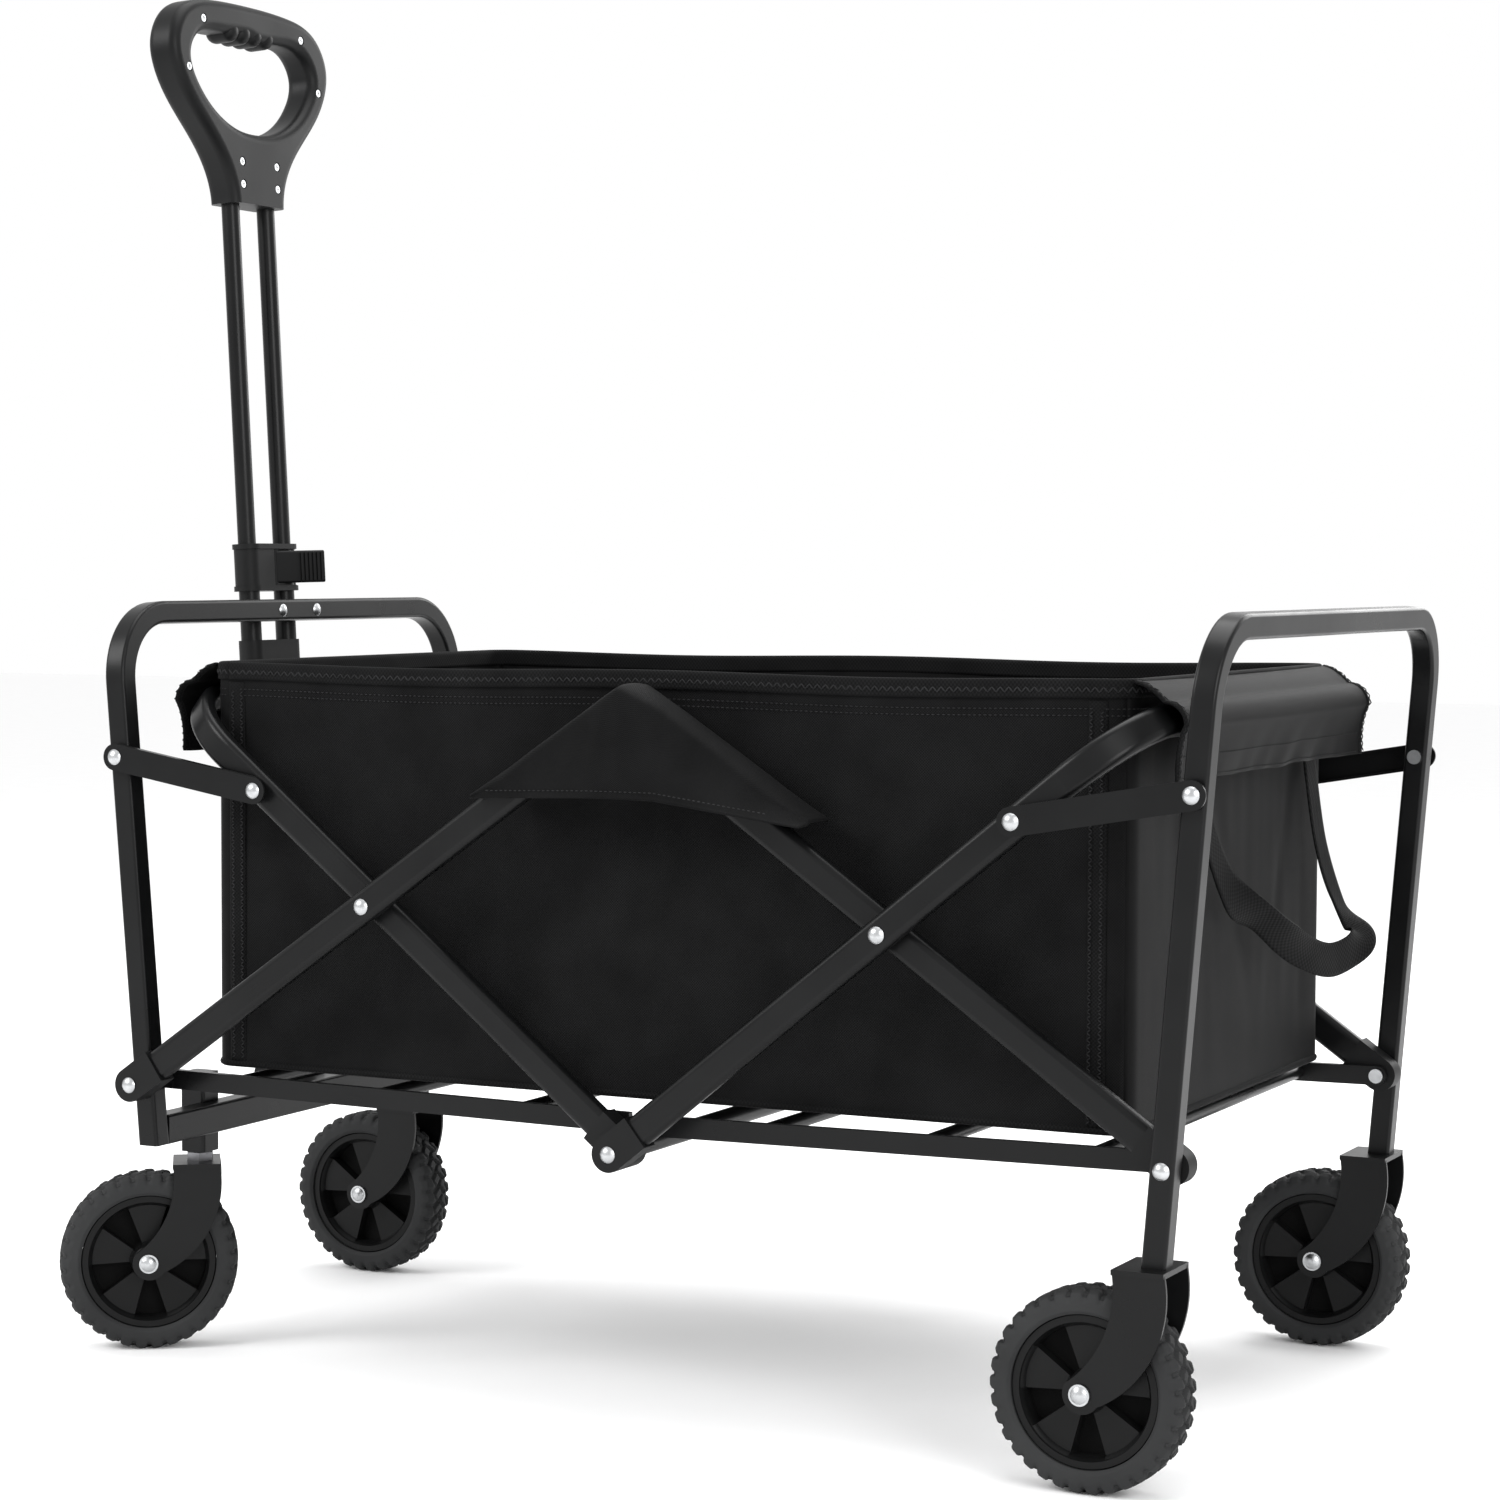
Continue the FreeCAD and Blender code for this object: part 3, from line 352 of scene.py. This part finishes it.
def sideDent(x, v, z, side):
    # how far a side panel stands in from its flat place: slack, the fold line and pulls to the corners
    dent = basket["ripple"] * (waver(x, side, z, 7.0) + 0.6 * waver(x * 1.7, side, z, 15.0) + 0.9)
    dent += basket["crease"] * hill(x, 0.005 * math.sin(30 * z), 0.012) * (1 - v) ** 0.7
    dent += basket["footPull"] * hill((z - floorZ) - (halfLong - abs(x)) * 0.78, 0.02, 0.03)
    return dent + basket["sidePull"] * hill(abs(x), 0.24 + 0.16 * v, 0.016)


def endDent(y, v, z, end):
    # the same for an end panel, with two folds that lean inwards from the rim
    dent = basket["endRipple"] * (waver(y * 1.6, end, z, 5.0) + 0.3 * waver(y * 3, end, z * 0.6, 14.0) + 0.9)
    dent += basket["endFold"] * hill(y, -0.085 + 0.16 * (1 - v), 0.014) * v
    return dent + basket["endPull"] * hill(y, 0.17 - 0.10 * (1 - v), 0.012) * v


def wallShape(start, length, long):
    # one panel, from the middle of one corner to the middle of the next
    def shape(u, v):
        point, out = rimPoint(start + u * length)
        z = mix(floorZ + 0.0016, rimHeight(point.x) - 0.001, v)
        edge = min(1.0, 9 * min(u, 1 - u)) * min(1.0, 5 * min(v + 0.02, 1 - v + 0.02))
        if long:
            dent = sideDent(point.x, v, z, out.y)
        else:
            dent = endDent(point.y, v, z, out.x)
        place = point - out * (basket["skin"] + dent * edge)
        return Vector((midX + place.x, place.y, z))

    return shape


def floorSheet(u, v):
    x = mix(-halfLong + basket["floorIn"], halfLong - basket["floorIn"], u)
    y = mix(-halfWide + basket["floorIn"], halfWide - basket["floorIn"], v)
    lift = 0.0012 + 0.0016 * (waver(x, y, 0, 9.0) + 0.6) + 0.003 * hill(x, 0, 0.010)
    return Vector((midX + x, y, floorZ + lift))


walls = []
wallDrop = rimZ - floorZ
start = -cornerArc / 2
for name, run, long, cloth, loop in (
    ("side_wall_left", sideRun, True, "side_fabric", None),
    ("end_wall_rear", endRun, False, "end_fabric", "rear_loop_tube"),
    ("side_wall_right", sideRun, True, "side_fabric", None),
    ("end_wall_front", endRun, False, "end_fabric", "front_loop_tube"),
):
    length = run + cornerArc
    bm = clothGrid(200 if long else 120, 80, (length, wallDrop), wallShape(start, length, long))
    wall = thicken(finishPiece(name, bm, finishes[cloth], "basket", cloth), basket["cloth"])
    walls.append(wall)
    start += length
floorFlat = (2 * (halfLong - basket["floorIn"]), 2 * (halfWide - basket["floorIn"]))
bm = clothGrid(190, 110, floorFlat, floorSheet)
floorCloth = finishPiece("floor_cloth", bm, finishes["side_fabric"], "basket", "side_fabric")
thicken(floorCloth, basket["cloth"])
walls.append(floorCloth)
print("basket walls", len(walls))


def onRim(d, drop, proud):
    point, out = rimPoint(d)
    top = rimHeight(point.x)
    return Vector((midX + point.x, point.y, top - drop)) + out * proud


def bindingShape(u, v):
    d = u * rimLength
    turn = (v - 0.5) * 2
    bend = basket["bindRound"]      # share of the tape that goes over the rim's edge
    half = basket["bindProud"] + basket["cloth"] / 2
    if abs(turn) > bend:
        drop = (abs(turn) - bend) / (1 - bend) * (basket["bindDeep"] - half) + half
        proud = half if turn > 0 else -half
    else:
        angle = turn / bend * math.pi / 2
        proud = half * math.sin(angle)
        drop = half - half * math.cos(angle)
    flutter = basket["flutter"] * waver(d * 30, turn, 0, 1.0)
    return onRim(d, drop - 0.001, proud - 0.0012 + flutter)


def pipingShape(u, v):
    # a cord sewn into the bottom seam, all the way round
    point, out = rimPoint(u * rimLength)
    r = basket["piping"]
    turn = 2 * math.pi * v
    place = point + out * (r * math.cos(turn) - r * 0.7)
    return Vector((midX + place.x, place.y, floorZ + r + r * math.sin(turn)))


def rimOut(d):
    return rimPoint(d)[1]


bm = clothGrid(420, 16, (rimLength, 2 * basket["bindDeep"]), bindingShape)
binding = finishPiece("rim_binding", bm, bindingFinish, "basket", "side_fabric")
thicken(binding, basket["bindCloth"])
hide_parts("basket")
walls.append(binding)
bm = clothGrid(420, 10, (rimLength, 2 * math.pi * basket["piping"]), pipingShape)
bmesh.ops.remove_doubles(bm, verts=bm.verts, dist=meshSlack)
bmesh.ops.recalc_face_normals(bm, faces=bm.faces)
walls.append(finishPiece("bottom_piping", bm, bindingFinish, "basket", "side_fabric"))
bindingRows = [(lambda d: onRim(d, basket["bindDeep"] * 0.5, 0.0011), rimOut, rimLength)]
walls.append(stitchPiece("rim_zigzag", bindingRows, zigzag, "basket", "side_fabric"))
seamRows = []
for drop in (basket["seamDrop"], basket["seamDrop"] + basket["seamGap"]):
    seamRows.append((lambda d, s=drop: onRim(d, s, -0.0006), rimOut, rimLength))
walls.append(stitchPiece("rim_seam", seamRows, straight, "basket", "side_fabric"))


def cornerTapeShape(side, end):
    # a narrow tape from the floor to the rim, beside one corner of a side panel
    def shape(u, v):
        z = mix(floorZ + basket["tapeFoot"], rimZ - basket["bindDeep"] - 0.001, v)
        x = halfLong - basket["corner"] + 0.001 - basket["cornerTape"] * u
        proud = 0.0010 * math.sin(math.pi * min(1, u * 1.2)) + 0.0004 * waver(x, side, z * 3, 20.0)
        return Vector((midX + end * x, side * (halfWide - basket["tapeCloth"] + proud), z))

    return shape


cornerRows = []
for side, sideLabel in ((-1, "left"), (1, "right")):
    for end, endLabel in ((-1, "front"), (1, "rear")):
        bm = clothGrid(8, 90, (basket["cornerTape"], rimZ - floorZ), cornerTapeShape(side, end))
        if side * end < 0:
            bmesh.ops.reverse_faces(bm, faces=bm.faces[:])
        tape = finishPiece(f"corner_tape_{endLabel}_{sideLabel}", bm, bindingFinish, "basket", "side_fabric")
        walls.append(thicken(tape, basket["tapeCloth"]))
        for inset in basket["tapeStitches"]:
            x = midX + end * (halfLong - basket["corner"] - inset)
            y = side * (halfWide + 0.0004)
            cornerRows.append((lambda d, x=x, y=y: Vector((x, y, floorZ + 0.008 + d)),
                               lambda d, s=side: Vector((0, s, 0)), rimZ - floorZ - 0.03))
walls.append(stitchPiece("corner_stitches", cornerRows, cornerZigzag, "basket", "side_fabric"))
print("basket trim done")


flaps = {
    "apexX": 0.012, "apexZ": rimZ - 0.004, "frontX": -0.118, "frontZ": 0.489,
    "rearX": 0.166, "rearZ": 0.476, "middleZ": 0.492, "outY": 0.2975, "inY": 0.2430,
    "roll": 0.010, "cloth": 0.0014, "leanIn": 0.018, "crease": 0.0016, "ruffle": 0.0009, "bulge": 0.0010,
    "tall": 0.180, "area": 0.026,
    "outside": 0.62, "over": 0.28, "inside": 0.1,       # shares of the cloth, which add up to 1
    "inDrop": 0.012, "stitchIn": 0.014, "stitchUp": 0.006,
}
flapLong = flaps["rearX"] - flaps["frontX"]


def flapShape(side):
    # a triangle folded over the two arms: down the outside, over the top and a little way inside
    def shape(u, v):
        x = mix(flaps["frontX"], flaps["rearX"], u)
        rear = x >= flaps["apexX"]
        far = flaps["rearX"] if rear else flaps["frontX"]
        share = (far - x) / (far - flaps["apexX"])
        tip = flaps["rearZ"] if rear else flaps["frontZ"]
        ridge = mix(tip + 0.003, flaps["apexZ"], share ** 0.95)
        hem = mix(tip, flaps["middleZ"], min(1, 1.25 * share))
        tall = max(0.002, ridge - hem)
        roll = min(flaps["roll"], tall * 0.4)
        lean = flaps["leanIn"] * min(1.0, (1 - share) * 5) if rear else 0.0     # over the inner arm
        top = flaps["outY"] - lean
        span = top - flaps["inY"]
        if v < flaps["outside"]:
            t = v / flaps["outside"]
            z = mix(hem, ridge - roll, t)
            y = flaps["outY"] - lean * t ** 0.7 - flaps["bulge"] * math.sin(math.pi * t)
        elif v < 1 - flaps["inside"]:
            angle = math.pi * (v - flaps["outside"]) / flaps["over"]
            y = flaps["inY"] + span / 2 + span / 2 * math.cos(angle)
            z = ridge - roll * (1 - math.sin(angle) ** 0.8) - 0.004 * math.sin(angle) * share
        else:
            y = flaps["inY"]
            t = (v - 1 + flaps["inside"]) / flaps["inside"]
            z = ridge - roll - t * min(flaps["inDrop"], 0.5 * tall)
        ruffle = flaps["ruffle"] * waver(x * 2, side * 3, z * 2, 20.0)
        ruffle += flaps["crease"] * hill(x, flaps["apexX"] - 0.03 * (1 - v), 0.008) * min(1.0, v + 0.2)
        return Vector((midX + x, side * (y + ruffle), z))

    return shape


trims = []
for side, label in ((-1, "left"), (1, "right")):
    flat = (flapLong, flaps["tall"])
    bm = clothGrid(110, 60, flat, flapShape(side))
    if side > 0:
        bmesh.ops.reverse_faces(bm, faces=bm.faces[:])
    flap = finishPiece("pivot_flap_" + label, bm, finishes["side_fabric"], "basket", "side_fabric")
    thicken(flap, flaps["cloth"])
    trims.append(flap)
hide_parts("top_flaps")


def flapEdge(side, d):
    # a row of stitches along the hem
    along = flaps["stitchIn"] + d
    hem = flapShape(side)(along / flapLong, 0.0).z
    return Vector((midX + flaps["frontX"] + along, side * (flaps["outY"] + 0.0008), hem + flaps["stitchUp"]))


hemRows = []
for side in (-1, 1):
    hemRows.append((lambda d, s=side: flapEdge(s, d), lambda d, s=side: Vector((0, s, 0)), flapLong - 0.04))
trims.append(stitchPiece("flap_hem_stitches", hemRows, straight, "basket", "side_fabric"))
print("flaps done")


sleeves = {
    "half": 0.229, "deep": 0.098, "radius": 0.0155, "hemZ": 0.514, "hemX": 0.428, "cloth": 0.0014,
    "flare": 0.008, "rise": 0.012, "inwards": 0.002, "past": 0.08,
    "inside": 0.2, "over": 0.3, "outside": 0.5,         # shares of the cloth, which add up to 1
    "seams": (0.78, 0.97), "mouthIn": 0.003, "mouthWide": 0.0042, "mouthThick": 0.0016,
}


def sleevePoint(v):
    # from the rim up to the loop's bar, round it, and down to the hem
    r, inwards = sleeves["radius"], sleeves["inwards"]
    if v < sleeves["inside"]:
        t = v / sleeves["inside"]
        x = mix(halfLong - 0.001, loopBarX - inwards, t)
        return x, mix(rimZ - 0.001, loopBarZ + r + sleeves["rise"] * (1 - t) + 0.001, t ** 0.8)
    if v < 1 - sleeves["outside"]:
        t = (v - sleeves["inside"]) / sleeves["over"]
        angle = math.pi / 2 * (1 - t * (1 + sleeves["past"]))
        return loopBarX - inwards * (1 - t) + r * math.cos(angle), loopBarZ + r * math.sin(angle)
    t = (v - 1 + sleeves["outside"]) / sleeves["outside"]
    startX = loopBarX + r * math.cos(math.pi / 2 * sleeves["past"])
    startZ = loopBarZ - r * math.sin(math.pi / 2 * sleeves["past"])
    return mix(startX, sleeves["hemX"], t ** 0.8), mix(startZ, sleeves["hemZ"], t)


def sleeveShape(end):
    def shape(u, v):
        y = mix(-sleeves["half"], sleeves["half"], u)
        x, z = sleevePoint(v)
        loose = max(0.0, (v - 1 + sleeves["outside"]) / sleeves["outside"])
        flare = sleeves["flare"] * loose ** 2 * hill(abs(y), sleeves["half"], 0.05)
        x += 0.0035 * loose * waver(y * 2, end, z, 14.0) + flare
        z += 0.0022 * loose * waver(y, end * 5, 0, 18.0) - 0.001 * math.sin(math.pi * u)
        return Vector((midX + end * x, y, z))

    return shape


def mouthLine(end, u, v):
    inwards = sleeves["mouthIn"] if u < 0.5 else -sleeves["mouthIn"]
    return sleeveShape(end)(u, v) + Vector((0, inwards, 0))


def mouthShape(end, u):
    # binding round the edge of a mouth, as a flattened roll
    def shape(along, around):
        v = mix(0.01, 0.99, along)
        ahead = (mouthLine(end, u, min(1.0, v + 0.01)) - mouthLine(end, u, max(0.0, v - 0.01))).normalized()
        out = ahead.cross(Vector((0, 1, 0))).normalized()
        turn = 2 * math.pi * around
        across = Vector((0, sleeves["mouthWide"] * math.cos(turn), 0))
        return mouthLine(end, u, v) + across + out * (sleeves["mouthThick"] * math.sin(turn))

    return shape


def seamPoint(end, share, d):
    return sleeveShape(end)(0.02 + d / (2 * sleeves["half"]), share) + Vector((end * 0.0008, 0, 0))


sleeveFlat = (2 * sleeves["half"], sleeves["deep"])
for end, label in ((-1, "front"), (1, "rear")):
    bm = clothGrid(130, 50, sleeveFlat, sleeveShape(end))
    if end < 0:
        bmesh.ops.reverse_faces(bm, faces=bm.faces[:])
    body = label + "_sleeve"
    piece = finishPiece("sleeve_" + label, bm, finishes["end_fabric"], body, "end_fabric")
    thicken(piece, sleeves["cloth"])
    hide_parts(body)
    seams = [
        (lambda d, s=share, e=end: seamPoint(e, s, d), lambda d, e=end: Vector((e, 0, 0)),
         0.96 * sleeveFlat[0])
        for share in sleeves["seams"]
    ]
    stitchPiece("sleeve_seam_" + label, seams, straight, body, "end_fabric")
    bm = bmesh.new()
    for u in (0.0, 1.0):
        mouth = clothGrid(90, 10, (sleeveFlat[1], 0.014), mouthShape(end, u))
        bmesh.ops.remove_doubles(mouth, verts=mouth.verts, dist=meshSlack)
        part = bpy.data.meshes.new("mouth")
        mouth.to_mesh(part)
        mouth.free()
        bm.from_mesh(part)
        bpy.data.meshes.remove(part)
    bmesh.ops.recalc_face_normals(bm, faces=bm.faces)
    finishPiece("sleeve_binding_" + label, bm, bindingFinish, body, "end_fabric")
    stitchPiece("sleeve_zigzag_" + label, [
        (lambda d, e=end, u=u: mouthLine(e, u, d / sleeveFlat[1]) + Vector((e * 0.0022, 0, 0.0006)),
         lambda d, e=end: Vector((e, 0, 0.3)), sleeveFlat[1] * 0.98) for u in (0.0, 1.0)
    ], zigzag, body, "end_fabric")
print("sleeves done")


strap = {
    "wide": 0.028, "thick": 0.0018, "route": [
        (0.003, -0.088, 0.512), (0.007, -0.082, 0.466), (0.016, -0.052, 0.418), (0.026, 0.002, 0.392),
        (0.036, 0.062, 0.364), (0.046, 0.116, 0.352), (0.054, 0.166, 0.366), (0.030, 0.180, 0.392),
        (0.014, 0.178, 0.442), (0.004, 0.176, 0.512),
    ],
    "twists": [(0.34, 0.09, 1.15), (0.69, 0.05, -0.9)],     # where, over how much, and how far in radians
}


def strapLine(u):
    # smooth curve through the strap's own route, given as distance out, y and z
    route = strap["route"]
    last = len(route) - 1
    n = min(last - 1, int(u * last))
    t = u * last - n
    a, b, c, d = (Vector(route[max(0, min(last, n + k))]) for k in (-1, 0, 1, 2))
    bend = (2 * a - 5 * b + 4 * c - d) * t ** 2 + (3 * b - a - 3 * c + d) * t ** 3
    place = 0.5 * (2 * b + (c - a) * t + bend)
    return Vector((midX + halfLong + place.x, place.y, place.z))


def strapShape(u, v):
    place = strapLine(u)
    ahead = (strapLine(min(1.0, u + 0.01)) - strapLine(max(0.0, u - 0.01))).normalized()
    across = Vector((1, 0, 0)).cross(ahead).normalized()
    turn = sum(far * hill(u, at, over) for at, over, far in strap["twists"])
    across.rotate(Quaternion(ahead, turn))
    return place + across * (v - 0.5) * strap["wide"]


strapRoute = [strapLine(n / 60) for n in range(61)]
strapLength = sum((b - a).length for a, b in zip(strapRoute, strapRoute[1:]))
bm = clothGrid(160, 8, (strapLength, strap["wide"]), strapShape)
rearStrap = finishPiece("pull_strap_rear", bm, finishes["webbing"], "basket", "webbing")
thicken(rearStrap, strap["thick"])
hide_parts("rear_strap")
trims.append(rearStrap)
print("strap done", round(strapLength, 3))

for piece in walls + trims:
    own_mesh(piece)


tyres = {
    "outer": 0.0755, "rim": 0.0570, "half": 0.0195, "lugs": 34, "around": 10, "across": 46,
    "groove": 0.0030, "lugShare": 0.64, "ribSide": 0.0095, "sideGroove": 0.0011,
}
hubs = {
    "sectors": 5, "panelTurn": 0.56, "panelDepth": 0.0035, "pocketDepth": 0.0135, "steps": 18, "wall": 0.035,
    "face": 0.0158, "boss": 0.0135, "bossFace": 0.0195, "bore": 0.0052, "lip": 0.0568, "edge": 0.0012,
    "sharp": 32,
}


def wheelPlace(body):
    joint = next(j for j in frame["joints"] if j["child"] == body)
    axle = Vector(joint["axis"]).normalized()
    up = Vector((0, 0, 1))
    ahead = axle.cross(up)
    turn = Matrix((ahead, axle, up)).transposed().to_4x4()
    return Matrix.Translation(joint["pos_m"]) @ turn


def alongLine(points, v):
    lengths = [(Vector(b) - Vector(a)).length for a, b in zip(points, points[1:])]
    d = v * sum(lengths)
    for (a, b), length in zip(zip(points, points[1:]), lengths):
        if d <= length:
            return mix(a[0], b[0], d / length), mix(a[1], b[1], d / length)
        d -= length
    return points[-1]


def plateau(t, share):
    away = abs(t % 1.0 - 0.5) * 2
    return min(1.0, max(0.0, (share - away) / 0.16 + 0.5))


def tyreShape(u, v):
    # a closed section turned round the axle, with staggered blocks cut into its tread
    outer, rim, half = tyres["outer"], tyres["rim"], tyres["half"]
    section = [
        (rim, -half + 0.002), (rim + 0.0025, -half), (outer - 0.0085, -half), (outer - 0.003, -half + 0.0018),
        (outer - 0.0004, -half + 0.0065), (outer, 0), (outer - 0.0004, half - 0.0065),
        (outer - 0.003, half - 0.0018), (outer - 0.0085, half), (rim + 0.0025, half), (rim, half - 0.002),
        (rim, -half + 0.002),
    ]
    r, y = alongLine(section, v)
    turn = u * tyres["lugs"]
    shoulder = plateau(turn + (0.0 if y > 0 else 0.5), tyres["lugShare"])
    middle = plateau(turn + (0.5 if y > 0 else 0.0) + 60 * abs(y), tyres["lugShare"])
    zag = 0.0016 * math.sin(2 * math.pi * turn)
    middle *= 1 - hill(y, zag, 0.0011)
    block = shoulder if abs(y) > tyres["ribSide"] + zag else middle
    seam = hill(abs(y), tyres["ribSide"] + zag, 0.0009)
    if r > outer - 0.0065:
        r -= tyres["groove"] * (1 - block * (1 - seam)) * min(1.0, (r - outer + 0.0065) / 0.004)
    if r > outer - 0.0105 and abs(y) > half - 0.002:
        y -= math.copysign(tyres["sideGroove"] * (1 - shoulder) * min(1.0, (r - outer + 0.0105) / 0.003), y)
    angle = 2 * math.pi * u
    return Vector((r * math.cos(angle), y, r * math.sin(angle)))


def hubShape(u, v):
    # raised panels and deep pockets by turns, between the boss and the lip
    face, boss, lip = hubs["face"], hubs["boss"], hubs["lip"]
    section = [
        (hubs["bore"], 0), (hubs["bore"], hubs["bossFace"]), (boss, hubs["bossFace"]),
        (boss + 0.0008, face - 0.002), (lip - 0.0062, face - 0.002), (lip - 0.0058, face),
        (lip - 0.0008, face), (lip, face - 0.001), (lip, 0),
    ]
    side = 1 if v > 0.5 else -1
    r, y = alongLine(section, abs(2 * v - 1))
    steps, wall = hubs["steps"], hubs["wall"]
    sector, local = divmod(u * 2 * hubs["sectors"] * steps, steps)
    share = local / steps
    lastStep = 1 - 1 / steps        # a sector's last step is its wall, narrower than the others
    if share < lastStep:
        share = share * (1 - wall) / lastStep
    else:
        share = mix(1 - wall, 1.0, (share - lastStep) * steps)
    panel = int(sector) % 2 == 0
    width = 2 * math.pi / hubs["sectors"]
    part = share * hubs["panelTurn"] if panel else hubs["panelTurn"] + share * (1 - hubs["panelTurn"])
    angle = width * (int(sector) // 2) + part * width
    wanted = 0.0
    inner, outer = boss + 0.0015, lip - 0.0075
    if inner < r < outer and y > face - 0.004:
        here = hubs["panelDepth"] if panel else hubs["pocketDepth"]
        there = hubs["pocketDepth"] if panel else hubs["panelDepth"]
        wanted = mix(here, there, max(0.0, (share - 1 + wall) / wall))
        wanted *= min(1.0, (r - inner) / hubs["edge"]) * min(1.0, (outer - r) / hubs["edge"])
    return Vector((r * math.cos(angle), side * (y - wanted), r * math.sin(angle)))


def roundPiece(name, along, up, shape, body, slot):
    bm = clothGrid(along, up, (1, 1), shape)
    bmesh.ops.remove_doubles(bm, verts=bm.verts, dist=meshSlack)
    bmesh.ops.dissolve_degenerate(bm, edges=bm.edges, dist=meshSlack / 2)
    bmesh.ops.transform(bm, verts=bm.verts, matrix=wheelPlace(body))
    bmesh.ops.recalc_face_normals(bm, faces=bm.faces)
    piece = finishPiece(name, bm, finishes[slot], body, slot)
    piece.data.set_sharp_from_angle(angle=math.radians(hubs["sharp"]))
    return piece


def markPockets(hub, body):
    marks = hub.data.attributes.new("pocket", "FLOAT", "POINT")
    back = wheelPlace(body).inverted()
    for vert, mark in zip(hub.data.vertices, marks.data):
        place = back @ vert.co
        r = math.hypot(place.x, place.z)
        # the pockets marked here are painted darker by hubMaterial, as painted shade, and made duller
        deep = hubs["face"] - abs(place.y) > hubs["panelDepth"] + 0.003
        mark.value = 1.0 if deep and hubs["boss"] < r < hubs["lip"] - 0.004 else 0.0


tyreGrid = (tyres["lugs"] * tyres["around"], 2 * tyres["across"])
hubGrid = (2 * hubs["sectors"] * hubs["steps"], 150)
for body in ("front_wheel_left", "front_wheel_right", "rear_wheel_left", "rear_wheel_right"):
    tyre = roundPiece("tread_" + body, *tyreGrid, tyreShape, body, "tyre")
    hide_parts(body.replace("_wheel_", "_tyre_"))
    hub = roundPiece("rim_" + body, *hubGrid, hubShape, body, "wheel_plastic")
    markPockets(hub, body)
    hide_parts(body.replace("_wheel_", "_hub_"))
print("wheels done")


studio = {
    "target": (-0.0223, 0.0, 0.5152), "azimuth": 26.4, "elevation": 3.06, "distance": 2.9916,
    "roll": 0.2, "lens": 85.4, "sensor": 36.0, "paper": (0.97, 0.97, 0.972), "floor": 14.0,
}


def makeFloor():
    bm = bmesh.new()
    bmesh.ops.create_grid(bm, x_segments=1, y_segments=1, size=studio["floor"])
    mesh = bpy.data.meshes.new("paper_floor")
    bm.to_mesh(mesh)
    bm.free()
    floor = bpy.data.objects.new("paper_floor", mesh)
    bpy.context.scene.collection.objects.link(floor)
    worn = tuple(0.985 * c for c in studio["paper"])
    mesh.materials.append(grained("paper", studio["paper"], worn, 0.9, 0.03, 40.0, 0.0002))


def areaLight(name, place, aim, size, power):
    light = bpy.data.lights.new(name, "AREA")
    light.shape = "RECTANGLE"
    light.size, light.size_y = size
    light.energy = power
    holder = bpy.data.objects.new(name, light)
    bpy.context.scene.collection.objects.link(holder)
    holder.location = place
    holder.rotation_euler = (Vector(aim) - Vector(place)).to_track_quat("-Z", "Y").to_euler()


makeFloor()
areaLight("key_light", (-2.2, -2.6, 2.6), (0, 0, 0.4), (2.0, 1.6), 90)
areaLight("fill_light", (2.9, -2.0, 1.7), (0, 0, 0.5), (1.6, 2.0), 58)
areaLight("top_light", (0.2, 0.4, 3.2), (0, 0, 0.4), (2.6, 2.0), 60)
areaLight("rim_light", (0.8, 3.0, 1.8), (0, 0, 0.5), (2.4, 1.6), 40)
world = bpy.data.worlds.new("studio")
bpy.context.scene.world = world
world.use_nodes = True
world.node_tree.nodes["Background"].inputs["Color"].default_value = (1, 1, 1, 1)
world.node_tree.nodes["Background"].inputs["Strength"].default_value = 1.0
bpy.context.scene.view_settings.view_transform = "Standard"

camera = bpy.data.cameras.new("camera")
camera.lens = studio["lens"]
camera.sensor_width = studio["sensor"]
cameraHolder = bpy.data.objects.new("camera", camera)
bpy.context.scene.collection.objects.link(cameraHolder)
azimuth, elevation = math.radians(studio["azimuth"]), math.radians(studio["elevation"])
level = math.cos(elevation)
back = Vector((math.sin(azimuth) * level, -math.cos(azimuth) * level, math.sin(elevation)))
target = Vector(studio["target"]) + Vector((midX, 0, 0))
cameraHolder.location = target + back * studio["distance"]
look = (-back).to_track_quat("-Z", "Y").to_matrix() @ Matrix.Rotation(math.radians(studio["roll"]), 3, "Z")
cameraHolder.rotation_euler = look.to_euler()
bpy.context.scene.camera = cameraHolder
print("studio done")
